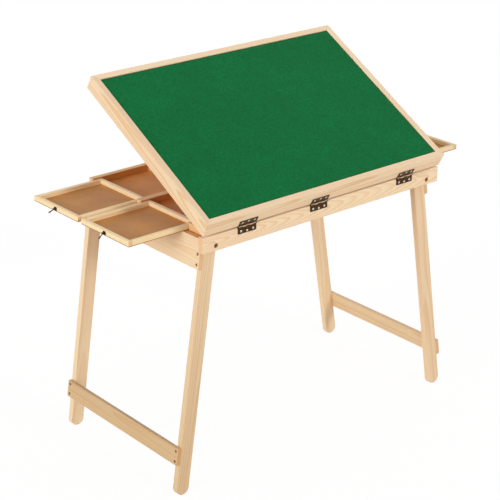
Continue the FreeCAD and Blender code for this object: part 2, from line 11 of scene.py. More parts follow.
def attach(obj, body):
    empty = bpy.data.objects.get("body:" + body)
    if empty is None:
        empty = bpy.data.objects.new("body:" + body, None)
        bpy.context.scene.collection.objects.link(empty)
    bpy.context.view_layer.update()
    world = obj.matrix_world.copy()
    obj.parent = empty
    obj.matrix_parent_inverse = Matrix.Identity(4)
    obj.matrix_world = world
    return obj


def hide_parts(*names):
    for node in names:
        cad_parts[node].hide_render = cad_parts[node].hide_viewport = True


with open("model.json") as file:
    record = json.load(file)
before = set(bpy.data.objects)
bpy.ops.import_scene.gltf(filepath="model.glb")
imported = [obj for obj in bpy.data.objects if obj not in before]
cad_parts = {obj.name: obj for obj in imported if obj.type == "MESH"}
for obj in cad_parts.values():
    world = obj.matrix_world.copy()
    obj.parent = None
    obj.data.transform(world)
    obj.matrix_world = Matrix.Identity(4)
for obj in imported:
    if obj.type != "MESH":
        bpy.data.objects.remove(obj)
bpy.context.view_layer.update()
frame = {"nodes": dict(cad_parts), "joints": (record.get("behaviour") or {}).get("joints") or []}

bl_info = {
    "name": "Jigsaw table",
    "version": (1, 0, 0),
    "blender": (4, 5, 0),
    "location": "3D View > Sidebar > Jigsaw table",
    "description": "Folding pine jigsaw table with a tilting felt top, drawers and folding legs",
    "category": "Object",
}

# ----- words and limits used throughout
DRAWERS = ("left_front", "left_rear", "right_front", "right_rear")
SIDES = ("left", "right")
ROWS = ("front", "rear")
OUTWARDS = {"left": -1.0, "right": 1.0, "front": -1.0, "rear": 1.0}
ALONG_X, ALONG_Y, ALONG_Z = 0, 1, 2
IN_PLACE = Matrix.Identity(4)
ROUND_SIDES = 48
EYE_SIDES = 32
SMALL_SIDES = 24
CREASE = math.radians(35.0)
TINY = 1e-6

# how far a direction of length 1 goes along an axis before it counts as lying along it
MOSTLY = 0.5
CLEARLY = 0.7
SQUARELY = 0.99

# how deep the colour is on end grain, how strong the painted shade is on the guides' faces inside the table,
# and how deep the colour is on the open ends of the guides
END_GRAIN = 0.40
INSIDE_SHADE = 0.80
OPEN_END = 0.10

# where a board may have lain in its log: along it, beside its heart and away from its heart
LOG_REACH = 9.0
HEART_SIDE = 0.03
HEART_DEPTH = (0.02, 0.06)

# the felt's waves: how many, how many radians per metre, the range of their starts, and the cuts of its mesh
FELT_WAVE_COUNT = 6
FELT_WAVES = (20.0, 90.0)
FELT_PHASE = 6.28
FELT_CUTS = 60

# a screw's dome from its top to its rim, in shares of its height and of its radius
SCREW_DOME = ((1.0, 0.0), (0.96, 0.38), (0.75, 0.72), (0.0, 1.0))
# the cross in it: its half length and half width in shares of the radius, and its floor in the dome's height
CROSS_SHARES = (0.62, 0.13)
CROSS_FLOOR = 0.2
# the most that chance turns a screw's cross, in radians
SCREW_TURN = 1.5
# vertices nearer than this are of one screw, and ends of leaves further apart than this of two hinges
SCREW_SPREAD = 0.009
HINGES_APART = 0.1

# a hinge pin's radius in shares of its caps', and how far up the faces look that get the painted highlight
# on the barrels
PIN_IN_CAP = 0.54
HIGHLIGHT_FACING_UP = 0.35

# a drop's neck in shares of its eye's radius, its stem in shares of its length, each with its own radius
# in shares of the thick end's; and the share of reaching out under which a drop hangs straight down
DROP_NECK = ((0.6, 0.0), (0.6, 0.45), (1.6, 0.62))
DROP_STEM = ((0.35, 0.66), (0.62, 0.78), (0.80, 0.95), (0.90, 1.0), (0.97, 0.68), (1.0, 0.0))
STRAIGHT_DOWN = 0.3

# how ripe and yellow the wood of single boards is, at the lower or rear end and at the other one
PALE = (0.0, 0.0)
SHADES = {
    "left_lower_stretcher": (0.82, 0.82),
    "right_lower_stretcher": (0.45, 0.45),
    "left_upper_rail": (0.18, 0.18),
    "top_left_board": (0.18, 0.18),
    "right_upper_rail": (0.24, 0.24),
    "left_front_leg": (0.62, 0.22),
    "left_rear_leg": (0.24, 0.16),
    "right_front_leg": (0.28, 0.18),
    "right_rear_leg": (0.20, 0.20),
}


def chosen(group):
    """One group of the settings: sizes, colours or stage."""
    return getattr(bpy.context.scene, "jigsaw_table_" + group)


# ----- places taken from the frame
def turned_about(point, angle, axis):
    """A turn about a line through a point."""
    return Matrix.Translation(point) @ Matrix.Rotation(angle, 4, axis) @ Matrix.Translation(-point)


JOINTS = {joint["name"]: joint for joint in frame["joints"]}
HINGE_LINE = Vector(JOINTS["top_tilt"]["pos_m"])
TILT = math.radians(-JOINTS["top_tilt"]["range_deg"][0])
RAISED = turned_about(HINGE_LINE, TILT, "X")
PROP_PIVOT = Vector(JOINTS["prop_swing"]["pos_m"])
PROP_SLOPE = math.atan2(PROP_PIVOT.z - HINGE_LINE.z, PROP_PIVOT.y - HINGE_LINE.y)

# the two leaves of a hinge: the body each rides on, where it is drawn and which way it lies
LEAVES = (("lower", "case", IN_PLACE, -1.0), ("upper", "top", RAISED, 1.0))


def corners(points):
    """Lowest and highest corner of the box round some points."""
    points = list(points)
    low = Vector([min(point[axis] for point in points) for axis in range(3)])
    high = Vector([max(point[axis] for point in points) for axis in range(3)])
    return low, high


def drawn_box(node, matrix=IN_PLACE):
    """Lowest and highest corner of a frame node, as it was before the matrix put it in its place."""
    back = matrix.inverted()
    return corners(back @ vertex.co for vertex in frame["nodes"][node].data.vertices)


def drawn_spans(node, matrix=IN_PLACE):
    """The spans of x, y and z that a frame node fills, drawn as above."""
    return tuple(zip(*drawn_box(node, matrix)))


def twin_spans(node):
    """The spans of x that a node's two like parts fill, left and right of the middle."""
    xs = [vertex.co.x for vertex in frame["nodes"][node].data.vertices]
    inner = min(abs(x) for x in xs)
    return (min(xs), -inner), (inner, max(xs))


def inner_end(node):
    """How far from the middle the twins of a node begin."""
    return twin_spans(node)[1][0]


def end_spans(span, width):
    """The two ends of a span, each so wide."""
    return (span[0], span[0] + width), (span[1] - width, span[1])


def outer_end(span, side):
    """The end of a span that lies towards a side of the table."""
    return span[1] if OUTWARDS[side] > 0.0 else span[0]


def drilled(face, outwards, depth):
    """Where a drill starts outside a face and where it stops under it."""
    overrun = chosen("sizes").tool_overrun
    return face + outwards * overrun, face - outwards * depth


# ----- sizes and colours
def length(name, description, default):
    """A length that a user may change."""
    return FloatProperty(name=name, description=description, default=default, min=0.0, unit="LENGTH")


def number(name, description, default):
    """A plain number that a user may change."""
    return FloatProperty(name=name, description=description, default=default)


def angle(name, description, default):
    """An angle that a user may change."""
    return FloatProperty(name=name, description=description, default=default, subtype="ANGLE")


def tint(name, description, default):
    """A colour as it is seen, which a user may change."""
    return FloatVectorProperty(name=name, description=description, default=default, size=3,
                               min=0.0, max=1.0, subtype="COLOR_GAMMA")


def direction(name, description, default):
    """The way to a light, which a user may change."""
    return FloatVectorProperty(name=name, description=description, default=default, size=3,
                               subtype="DIRECTION")


class JigsawTableSizes(bpy.types.PropertyGroup):
    """Sizes of the table that the finish adds to the frame."""

    board_edge: length("Board edge", "Rounding of the long edges of the boards", 0.0011)
    mitre_edge: length("Mitre edge", "Rounding where two mitred boards meet", 0.0002)
    leg_edge: length("Leg edge", "Rounding of the legs", 0.0016)
    rail_edge: length("Rail edge", "Rounding of the rails and stretchers between the legs", 0.00096)
    drawer_edge: length("Drawer edge", "Rounding of the drawer walls", 0.0005)
    drawer_rim: length("Drawer rim", "Rounding of the drawers' upper edges", 0.0016)
    batten_edge: length("Batten edge", "Rounding of battens, guides and the prop", 0.0005)
    leg_width: length("Leg width", "Width of a leg, which also rounds its foot", 0.039)
    pivot_off_middle: length("Pivot off middle", "How far a leg's pivot is from the middle of its width",
                             0.0045)
    leg_shoulder: length("Leg shoulder", "Rounding of the leg's top, where it turns under the deck", 0.009)
    ring_spacing: length("Ring spacing", "Distance between two growth rings of the pine", 0.0050)
    arch_slant: number("Arch slant", "How far a case board runs out of the log for each unit of its length",
                       0.055)
    felt_unevenness: length("Felt unevenness", "Height of the slow waves in the felt", 0.00025)
    felt_edge: length("Felt edge", "How much the felt is pressed down where it meets the frame", 0.0009)
    felt_rim_width: length("Felt rim width", "Width of the pressed and darkened edge of the felt", 0.0030)
    felt_rim_fade: length("Felt rim fade", "How far from its edge the felt lies quite flat", 0.020)
    metal_edge: length("Metal edge", "Rounding of hinge leaves, plates and screw heads", 0.0003)
    bolt_recess_radius: length("Bolt recess radius", "Radius of the recess round a bolt head", 0.0065)
    bolt_recess_depth: length("Bolt recess depth", "Depth of the recess for a bolt head", 0.006)
    tool_overrun: length("Tool overrun", "How far a drill or cutter starts outside the wood", 0.005)
    deck_batten_width: length("Deck batten width", "Width of the battens under the deck", 0.015)
    keeper_lip: length("Keeper lip", "How far a guide reaches over a drawer", 0.003)
    drawer_side_gap: length("Drawer side gap", "Play between a drawer and its guides", 0.0005)
    notch_slope: length("Notch slope", "Length of the gentle side of a rack notch", 0.009)
    notch_depth: length("Notch depth", "Depth of a rack notch", 0.0034)
    notch_pitch: length("Notch pitch", "Distance from one rack notch to the next", 0.012)
    prop_arm_thickness: length("Prop arm thickness", "Thickness of the prop's arms", 0.012)
    prop_pin_radius: length("Prop pin radius", "Radius of the pins that carry the prop", 0.00305)
    prop_dowel_radius: length("Prop dowel radius", "Radius of the prop's foot dowel", 0.007)
    bracket_corner: length("Bracket corner", "Rounding of the free corners of the prop's brackets", 0.005)
    screw_head_radius: length("Screw head radius", "Radius of the wood screws' heads", 0.0039)
    screw_recess_gap: length("Screw recess gap", "Play between a screw head and its recess", 0.0003)
    screw_recess: length("Screw recess", "Depth of the recess over a wood screw", 0.0022)
    screw_dome: length("Screw dome", "Height of a wood screw's domed head", 0.0008)
    screw_shank_radius: length("Screw shank radius", "Radius of the wood screws' shanks", 0.0020)
    head_rim: length("Head rim", "Height of the rim under a screw's dome", 0.0004)
    barrel_radius: length("Barrel radius", "Radius of the hinge barrels", 0.0026)
    knuckle_count: IntProperty(
        name="Knuckles", description="Number of knuckles in a hinge barrel", default=5, min=1)
    knuckle_gap: length("Knuckle gap", "Play between two knuckles", 0.0002)
    leaf_thickness: length("Leaf thickness", "Thickness of a hinge leaf", 0.0015)
    leaf_corner: length("Leaf corner", "Corner radius of a hinge leaf", 0.002)
    leaf_screw_inset: length("Leaf screw inset", "From a leaf's edge to its outer screws", 0.007)
    leaf_screw_stagger: length("Leaf screw stagger", "How much nearer the leaf's edge the middle screw is",
                               0.002)
    leaf_screw_spread: length("Leaf screw spread", "From a leaf's middle screw to its outer ones", 0.020)
    leaf_screw_radius: length("Leaf screw radius", "Radius of the hinge screws' heads", 0.0031)
    leaf_screw_dome: length("Leaf screw dome", "Height of a hinge screw's dome", 0.0006)
    leaf_screw_shank: length("Leaf screw shank", "Radius of the hinge screws' shanks", 0.0015)
    plate_thickness: length("Plate thickness", "Thickness of a pull's plate", 0.0012)
    plate_corner: length("Plate corner", "Corner radius of a pull's plate", 0.003)
    ear_radius: length("Ear radius", "Radius of a pull's ears", 0.002)
    ear_thickness: length("Ear thickness", "Thickness of a pull's ears", 0.0016)
    ear_gap: length("Ear gap", "Play between a drop and its ears", 0.0003)
    pull_pin_radius: length("Pull pin radius", "Radius of a pull's pin", 0.0008)
    pull_pin_play: length("Pull pin play", "Room between a pull's pin and its eye", 0.0001)
    drop_width: length("Drop width", "Width of a drop's eye", 0.0036)
    drop_eye_radius: length("Drop eye radius", "Radius of a drop's eye", 0.0021)
    drop_ball_radius: length("Drop end radius", "Radius of a drop's thick end", 0.0021)


class JigsawTableColours(bpy.types.PropertyGroup):
    """Colours of the table's woods, cloth and metals."""

    board_pine: tint("Board pine", "Ground colour of the boards", (0.985, 0.898, 0.770))
    leg_pine: tint("Leg pine", "Ground colour of the legs", (0.985, 0.898, 0.765))
    drawer_pine: tint("Drawer pine", "Ground colour of the drawers", (0.990, 0.905, 0.730))
    # deeper and more orange than the boards: partly the battens' own wood, partly painted shade for the
    # parts that sit in the shade inside the case
    batten_pine_and_shade: tint("Batten pine", "Ground colour of battens and guides", (0.930, 0.770, 0.540))
    ring_tone: tint("Ring tone", "Colour of the late wood in each growth ring", (0.900, 0.700, 0.480))
    flush_tone: tint("Flush tone", "Pinkish colour of the slow streaks", (0.955, 0.820, 0.705))
    ripe_tone: tint("Ripe tone", "Stain of the riper, yellower boards", (0.805, 0.757, 0.654))
    # on end grain this is the wood's own deeper colour; on the guides' faces inside the table it is painted
    # shade
    end_grain_and_shade_tone: tint("Deep tone", "Deeper colour of end grain and of faces inside the table",
                    (0.850, 0.560, 0.240))
    knot_tone: tint("Knot tone", "Colour of the small knots", (0.560, 0.360, 0.200))
    felt_green: tint("Felt green", "Colour of the felt", (0.030, 0.475, 0.250))
    felt_shade: tint("Felt shade", "Darker colour between the fibres", (0.015, 0.340, 0.160))
    # a painted shadow line along the felt's edge, where it meets the frame
    felt_rim_shadow: tint("Felt rim", "Dark glued edge of the felt along the frame", (0.110, 0.120, 0.050))
    hardboard_brown: tint("Hardboard brown", "Colour of the deck", (0.870, 0.590, 0.305))
    drawer_board: tint("Drawer board", "Colour of the drawer bottoms", (0.800, 0.560, 0.290))
    bronze: tint("Bronze", "Dark bronze of hinges and pulls", (0.260, 0.155, 0.040))
    bronze_wear: tint("Bronze wear", "Where the dark bronze has worn lighter", (0.470, 0.350, 0.240))
    # a painted highlight on the upper front of the hinge barrels
    painted_barrel_highlight: tint("Barrel shine", "Where the hinge barrels are rubbed bright", (0.840, 0.710, 0.560))
    screw_steel: tint("Screw steel", "Steel of the hinge screws", (0.860, 0.820, 0.740))
    bolt_brown: tint("Bolt brown", "Browned steel of bolts and wood screws", (0.560, 0.400, 0.230))


class JigsawTableStage(bpy.types.PropertyGroup):
    """Camera, lights and floor."""

    camera_place: FloatVectorProperty(
        name="Camera place", description="Where the camera stands",
        default=(-2.5745, -3.0524, 2.1438), size=3, subtype="TRANSLATION", unit="LENGTH")
    camera_yaw: angle("Camera yaw", "How far the view turns from +Y towards +X", 0.694)
    camera_pitch: angle("Camera pitch", "How far the view looks down", 0.392)
    camera_roll: angle("Camera roll", "Turn about the view line", -0.003)
    lens: number("Lens", "Focal length in millimetres on a 36 mm sensor", 108.6)
    sky_low: number("Low sky", "Strength of the even light near the horizon", 0.82)
    sky_high: number("High sky", "Strength of the even light overhead", 0.45)
    key_strength: number("Key light", "Strength of the main light", 1.35)
    key_from: direction("Key from", "Where the main light comes from", (-0.95, -0.10, 0.27))
    key_softness: angle("Key softness", "How wide the main light looks", math.radians(30.0))
    fill_strength: number("Fill light", "Strength of the soft light from the front", 0.80)
    fill_from: direction("Fill from", "Where the soft light comes from", (0.15, -0.93, 0.35))
    fill_softness: angle("Fill softness", "How wide the soft light looks", math.radians(10.0))
    floor_size: length("Floor size", "Side of the square floor", 28.0)
    floor_pale: tint("Floor pale", "Colour of the floor", (0.97, 0.97, 0.97))
    floor_bounce: tint("Floor bounce", "Colour of the light that the floor throws up", (0.88, 0.83, 0.75))
    floor_show: FloatProperty(
        name="Floor shadow", description="How much of the floor's shadow the camera sees",
        default=0.10, min=0.0, max=1.0, subtype="FACTOR")
    floor_glow: number("Floor glow", "Strength of the white that the camera sees of the floor", 1.03)


def linear(colour):
    """A colour as it is seen, made into the light values that a material needs."""
    parts = [c / 12.92 if c <= 0.04045 else ((c + 0.055) / 1.055) ** 2.4 for c in colour]
    return (*parts, 1.0)


# ----- materials
class Wire:
    """A value on its way through a material, which sums turn into Math nodes."""

    def __init__(self, finish, socket):
        self.finish = finish
        self.socket = socket

    def __add__(self, other):
        return self.finish.maths("ADD", self, other)

    def __radd__(self, other):
        return self.finish.maths("ADD", other, self)

    def __sub__(self, other):
        return self.finish.maths("SUBTRACT", self, other)

    def __rsub__(self, other):
        return self.finish.maths("SUBTRACT", other, self)

    def __mul__(self, other):
        return self.finish.maths("MULTIPLY", self, other)

    def __rmul__(self, other):
        return self.finish.maths("MULTIPLY", other, self)

    def __truediv__(self, other):
        return self.finish.maths("DIVIDE", self, other)

    def __rtruediv__(self, other):
        return self.finish.maths("DIVIDE", other, self)

    def __pow__(self, other):
        return self.finish.maths("POWER", self, other)

    def __rpow__(self, other):
        return self.finish.maths("POWER", other, self)


def pick(sockets, name):
    """A socket by its number, or the one in use that has the name."""
    if isinstance(name, int):
        return sockets[name]
    return next(socket for socket in sockets if socket.name == name and socket.enabled)


class Nodes:
    """The nodes of a material or of the world."""

    def __init__(self, tree):
        self.tree = tree

    def feed(self, node, values):
        """Set or link the sockets of a node."""
        for name, value in values.items():
            socket = pick(node.inputs, name)
            if isinstance(value, Wire):
                self.tree.links.new(value.socket, socket)
            else:
                socket.default_value = value

    def node(self, kind, settings=None, values=None, output=0):
        """Add a node, set it up, feed it, and give back one of its outputs."""
        made = self.tree.nodes.new(kind)
        for name, value in (settings or {}).items():
            setattr(made, name, value)
        self.feed(made, values or {})
        return Wire(self, pick(made.outputs, output))

    def outputs(self, kind, values, *names):
        """Add a node and give back several of its outputs."""
        made = self.node(kind, {}, values).socket.node
        return [Wire(self, pick(made.outputs, name)) for name in names]

    def maths(self, operation, first, second=0.0):
        return self.node("ShaderNodeMath", {"operation": operation}, {0: first, 1: second})

    def seen_directly(self):
        """1 where the camera sees the surface, also in a reflection or through glass; otherwise 0."""
        camera, glossy, through = self.outputs("ShaderNodeLightPath", {}, "Is Camera Ray", "Is Glossy Ray",
                                               "Is Transmission Ray")
        return self.maths("MAXIMUM", self.maths("MAXIMUM", camera, glossy), through)

    def attribute(self, name, output="Fac"):
        """What a mesh holds under a name, at each of its points or faces."""
        return self.node("ShaderNodeAttribute", {"attribute_name": name}, {}, output)

    def noise(self, place, waves, detail=2.0, roughness=0.5):
        """Noise from 0 to 1, with so many waves per metre along each axis."""
        mapped = self.node("ShaderNodeMapping", {}, {"Vector": place, "Scale": waves})
        return self.node("ShaderNodeTexNoise", {},
                         {"Vector": mapped, "Scale": 1.0, "Detail": detail, "Roughness": roughness},
                         "Fac")

    def even_noise(self, place, waves, detail=2.0, roughness=0.5):
        """Noise with the same waves along every axis."""
        return self.noise(place, (waves, waves, waves), detail, roughness)

    def ramp(self, value, start, end):
        """0 below start, 1 above end and a smooth rise between; start may be above end."""
        return self.node("ShaderNodeMapRange", {"interpolation_type": "SMOOTHSTEP"},
                         {"Value": value, "From Min": start, "From Max": end})

    def mix(self, factor, first, second):
        """One colour going over to another."""
        return self.node("ShaderNodeMix", {"data_type": "RGBA"},
                         {"Factor": factor, "A": first, "B": second}, "Result")

    def layered(self, colour, *layers):
        """A colour under layers of other tones, each with its share, the lowest layer first."""
        for share, tone in layers:
            colour = self.mix(share, colour, linear(tone))
        return colour

    def tinted(self, colour, tone):
        """A colour seen through a clear stain of the tone."""
        return self.node("ShaderNodeMix", {"data_type": "RGBA", "blend_type": "MULTIPLY"},
                         {"Factor": 1.0, "A": colour, "B": linear(tone)}, "Result")


def finish_name(slot):
    """Name of the finish for a slot; the frame's own plain material has the slot's name."""
    return slot + "_finish"


class Finish(Nodes):
    """One material: its Principled shader and the nodes that feed it."""

    def __init__(self, name, **values):
        self.material = bpy.data.materials.new(finish_name(name))
        self.material.use_nodes = True
        super().__init__(self.material.node_tree)
        self.shader = next(node for node in self.tree.nodes if node.type == "BSDF_PRINCIPLED")
        self.feed(self.shader, {key.replace("_", " "): value for key, value in values.items()})

    def object_place(self):
        return self.node("ShaderNodeTexCoord", {}, {}, "Object")

    def bump(self, height, strength, depth):
        normal = self.node("ShaderNodeBump", {},
                           {"Height": height, "Strength": strength, "Distance": depth}, "Normal")
        self.feed(self.shader, {"Normal": normal})


# waves per metre of the pine's patterns: along the board, across it and through it
KNOT_CELLS = (7.0, 16.0, 16.0)
RING_DRIFT = (1.7, 9.0, 9.0)
PATCHES = (1.1, 14.0, 14.0)
SLOW_STREAKS = (0.8, 22.0, 22.0)
FIBRES = (9.0, 520.0, 520.0)
PORES = (60.0, 1300.0, 1300.0)
# the share of cells without a knot; how far in metres rings wander, run out along a metre of the board
# and swing round a knot
KNOTLESS = 0.93
RING_WANDER = 0.016
RING_RUN = 0.012
RING_SWIRL = 0.004
# how much nearer than in the legs the rings of the wide boards lie
CLOSE_RINGS = 1.5


def pine(name, ground, spacing, flush_share, ring_share, roughness=0.40):
    """Clear satin pine. The grain attribute gives each board its own place in a log.

    Spacing is the distance between two growth rings.
    """
    colours = chosen("colours")
    finish = Finish(name, IOR=1.46, Specular_IOR_Level=0.35)
    place = finish.attribute("grain", "Vector")
    along, across, through = finish.outputs("ShaderNodeSeparateXYZ", {"Vector": place}, 0, 1, 2)
    # a few cells hold a knot, which pushes the rings around it
    cells = finish.node("ShaderNodeMapping", {}, {"Vector": place, "Scale": KNOT_CELLS})
    knot_distance, cell_colour = finish.outputs("ShaderNodeTexVoronoi", {"Vector": cells, "Scale": 1.0},
                                                "Distance", "Color")
    lot = finish.node("ShaderNodeSeparateColor", {}, {0: cell_colour})
    knotted = finish.maths("GREATER_THAN", lot, KNOTLESS)
    knot_swirl = finish.ramp(knot_distance, 0.34, 0.04) * knotted
    knot_core = finish.ramp(knot_distance, 0.075, 0.030) * knotted
    # growth rings about the heart of the log, slowly wandering along the board
    drift = finish.noise(place, RING_DRIFT)
    radius = (across * across + through * through) ** 0.5
    rings = (radius + drift * RING_WANDER + along * RING_RUN + knot_swirl * RING_SWIRL) / spacing
    late = finish.maths("FRACT", rings)
    late_line = finish.ramp(late, 0.30, 0.86) - finish.ramp(late, 0.88, 1.0)
    patches = finish.ramp(finish.noise(place, PATCHES, 1.0), 0.30, 0.70)
    slow = finish.ramp(finish.noise(place, SLOW_STREAKS, 3.0), 0.40, 0.68)
    fibres = finish.noise(place, FIBRES, 3.0, 0.62)
    pores = finish.ramp(finish.noise(place, PORES, 1.0), 0.66, 0.80)
    colour = finish.layered(
        linear(ground),
        (slow * flush_share, colours.flush_tone),
        (late_line * (patches * 0.55 + 0.45) * ring_share, colours.ring_tone),
        (finish.ramp(fibres, 0.35, 0.80) * 0.22, colours.ring_tone),
        (pores * 0.30, colours.knot_tone),
        (knot_swirl * 0.20 + knot_core * 0.60, colours.knot_tone))
    colour = finish.mix(finish.attribute("shade"), colour, finish.tinted(colour, colours.ripe_tone))
    # end grain gets its own deeper colour, and the guides' faces inside the table get painted shade
    colour = finish.layered(colour, (finish.attribute("deep"), colours.end_grain_and_shade_tone))
    gloss = fibres * 0.12 + late_line * -0.06 + roughness
    finish.feed(finish.shader, {"Base Color": colour, "Roughness": gloss})
    finish.bump(fibres * 0.6 + late_line * 0.5 + pores * -0.8, 0.30, 0.00025)


def felt_cloth(name):
    """Short green felt: matted fibres with slow cloudy patches, and a painted shadow line along its edge."""
    colours = chosen("colours")
    finish = Finish(name, Roughness=0.95, Sheen_Weight=0.03, Sheen_Roughness=0.6, IOR=1.2)
    place = finish.object_place()
    broad = finish.ramp(finish.even_noise(place, 5.0), 0.35, 0.65)
    clouds = finish.ramp(finish.even_noise(place, 26.0, 3.0), 0.30, 0.72)
    tufts = finish.even_noise(place, 170.0, 4.0, 0.65)
    hairs = finish.noise(place, (1400.0, 700.0, 700.0), 3.0, 0.70)
    hairs_across = finish.noise(place, (600.0, 1500.0, 1500.0), 3.0, 0.70)
    matted = tufts * 0.55 + hairs * 0.25 + hairs_across * 0.20
    light_hair = finish.ramp(hairs * 0.5 + hairs_across * 0.5, 0.62, 0.78)
    colour = finish.layered(
        linear(colours.felt_green),
        (finish.ramp(matted, 0.62, 0.36) * 0.75, colours.felt_shade),
        (clouds * 0.16, colours.felt_shade),
        (broad * 0.16, colours.felt_shade),
        (light_hair * 0.35, [c * 1.5 for c in colours.felt_green]),
        # the edge band gets a painted shadow line where the felt meets the frame
        (finish.attribute("rim"), colours.felt_rim_shadow))
    finish.feed(finish.shader, {"Base Color": colour})
    finish.bump(matted, 0.75, 0.0009)


def hardboard(name, ground, roughness):
    """Smooth pressed-fibre board with fine flecks, darker on its sawn edges."""
    colours = chosen("colours")
    finish = Finish(name, IOR=1.45, Specular_IOR_Level=0.25)
    place = finish.object_place()
    clouds = finish.even_noise(place, 14.0, 3.0)
    flecks = finish.even_noise(place, 620.0, 4.0, 0.7)
    strands = finish.noise(place, (160.0, 900.0, 900.0), 3.0, 0.6)
    colour = finish.layered(
        linear(ground),
        (finish.ramp(clouds, 0.30, 0.70) * 0.25, colours.knot_tone),
        (finish.ramp(flecks, 0.52, 0.75) * 0.45, colours.knot_tone),
        (finish.ramp(strands, 0.55, 0.75) * 0.25, colours.ring_tone),
        (finish.attribute("deep") * 0.7, colours.knot_tone))
    finish.feed(finish.shader, {"Base Color": colour, "Roughness": flecks * 0.2 + roughness})
    finish.bump(flecks * 0.6 + strands * 0.4, 0.20, 0.0002)


def worn_metal_with_highlight(name, ground, metallic, roughness, wear_share):
    """Plated or browned metal, rubbed lighter in patches, with a painted highlight where the mesh marks it.
    """
    colours = chosen("colours")
    finish = Finish(name)
    place = finish.object_place()
    rubbed = finish.ramp(finish.even_noise(place, 260.0, 4.0, 0.6), 0.46, 0.72)
    grit = finish.even_noise(place, 1500.0, 2.0, 0.6)
    # noise patches are real wear; the faces that the mesh marks get a painted highlight
    colour = finish.layered(linear(ground), (rubbed * wear_share, colours.bronze_wear),
                            (finish.attribute("bright"), colours.painted_barrel_highlight))
    finish.feed(finish.shader, {
        "Base Color": colour,
        "Metallic": metallic,
        "Roughness": rubbed * -0.10 + grit * 0.12 + roughness,
    })
    finish.bump(grit, 0.12, 0.0001)


def make_materials():
    """Every finish of the table, named for its slot."""
    colours = chosen("colours")
    spacing = chosen("sizes").ring_spacing
    pine("pine_boards", colours.board_pine, spacing / CLOSE_RINGS, 0.30, 0.60)
    pine("pine_legs", colours.leg_pine, spacing, 0.35, 0.45)
    pine("pine_drawers", colours.drawer_pine, spacing, 0.10, 0.35)
    pine("pine_battens", colours.batten_pine_and_shade, spacing, 0.40, 0.60, 0.50)
    felt_cloth("green_felt")
    hardboard("hardboard", colours.hardboard_brown, 0.40)
    hardboard("drawer_hardboard", colours.drawer_board, 0.35)
    worn_metal_with_highlight("bronze", colours.bronze, 0.80, 0.38, 0.50)
    worn_metal_with_highlight("bright_screws", colours.screw_steel, 0.90, 0.30, 0.30)
    worn_metal_with_highlight("dark_bolts", colours.bolt_brown, 0.50, 0.42, 0.40)
    worn_metal_with_highlight("zinc", colours.screw_steel, 0.90, 0.35, 0.20)


# ----- the bench: shapes
def box_shape(low, high):
    """A block between two corners."""
    shape = bmesh.new()
    bmesh.ops.create_cube(shape, size=1.0)
    bmesh.ops.scale(shape, vec=high - low, verts=shape.verts)
    bmesh.ops.translate(shape, vec=(low + high) / 2.0, verts=shape.verts)
    return shape


def block(x, y, z):
    """A block that fills a span of x, one of y and one of z."""
    return box_shape(*(Vector(ends) for ends in zip(x, y, z)))


def rod(radius, axis, span, middle, sides=ROUND_SIDES):
    """A round bar along an axis, from one end of a span to the other, through a middle point."""
    start = Vector(middle)
    start[axis] = span[0]
    end = Vector(middle)
    end[axis] = span[1]
    run = end - start
    turn = Vector((0.0, 0.0, 1.0)).rotation_difference(run).to_matrix().to_4x4()
    shape = bmesh.new()
    bmesh.ops.create_cone(shape, cap_ends=True, cap_tris=False, segments=sides, radius1=radius,
                          radius2=radius, depth=run.length,
                          matrix=Matrix.Translation((start + end) / 2.0) @ turn)
    return shape


def turned(profile, axis):
    """A profile of places along an axis and distances from it, spun round that axis."""
    shape = bmesh.new()
    points = []
    for along, out in profile:
        place = [0.0, 0.0, 0.0]
        place[axis] = along
        place[2 - axis] = out
        points.append(shape.verts.new(place))
    for first, second in zip(points, points[1:]):
        shape.edges.new((first, second))
    line = [0.0, 0.0, 0.0]
    line[axis] = 1.0
    bmesh.ops.spin(shape, geom=shape.verts[:] + shape.edges[:], cent=(0.0, 0.0, 0.0), axis=line,
                   angle=math.tau, steps=SMALL_SIDES, use_merge=True)
    bmesh.ops.remove_doubles(shape, verts=shape.verts, dist=TINY)
    bmesh.ops.recalc_face_normals(shape, faces=shape.faces)
    return shape


def cut_away(shape, point, outwards):
    """Cut off what lies beyond a plane, and give back the edges of the cut."""
    cut = bmesh.ops.bisect_plane(shape, geom=shape.verts[:] + shape.edges[:] + shape.faces[:],
                                 plane_co=point, plane_no=outwards, clear_outer=True)
    return [item for item in cut["geom_cut"] if isinstance(item, bmesh.types.BMEdge)]


def soften(shape, width, edges=None, steps=3):
    """Round edges over: the ones given, or every sharp one."""
    if edges is None:
        edges = [edge for edge in shape.edges if edge.calc_face_angle(0.0) > CREASE]
    bmesh.ops.bevel(shape, geom=edges, offset=width, offset_type="OFFSET", segments=steps,
                    profile=0.5, affect="EDGES", material=-1, clamp_overlap=True)
    return shape


def runs_along(edge, axis):
    """True where an edge isn't at right angles to an axis."""
    return abs(edge.verts[0].co[axis] - edge.verts[1].co[axis]) > TINY


def edges_at(shape, level, along):
    """Edges that lie at a height and run along an axis."""
    return [edge for edge in shape.edges if runs_along(edge, along)
            and all(abs(vertex.co.z - level) < TINY for vertex in edge.verts)]


def gathered(shapes):
    """Several shapes as one."""
    whole = bmesh.new()
    for shape in shapes:
        passing = bpy.data.meshes.new("passing")
        shape.to_mesh(passing)
        shape.free()
        whole.from_mesh(passing)
        bpy.data.meshes.remove(passing)
    return whole


def placed(shape, matrix):
    """A shape moved by a matrix."""
    bmesh.ops.transform(shape, matrix=matrix, verts=shape.verts)
    return shape


def copies(shape, matrices):
    """The shape once for each matrix, all in one."""
    made = [placed(shape.copy(), matrix) for matrix in matrices]
    shape.free()
    return gathered(made)


def as_object(name, shape):
    """A new object at the origin that holds the shape."""
    mesh = bpy.data.meshes.new(name)
    shape.to_mesh(mesh)
    shape.free()
    piece = bpy.data.objects.new(name, mesh)
    bpy.context.scene.collection.objects.link(piece)
    return piece


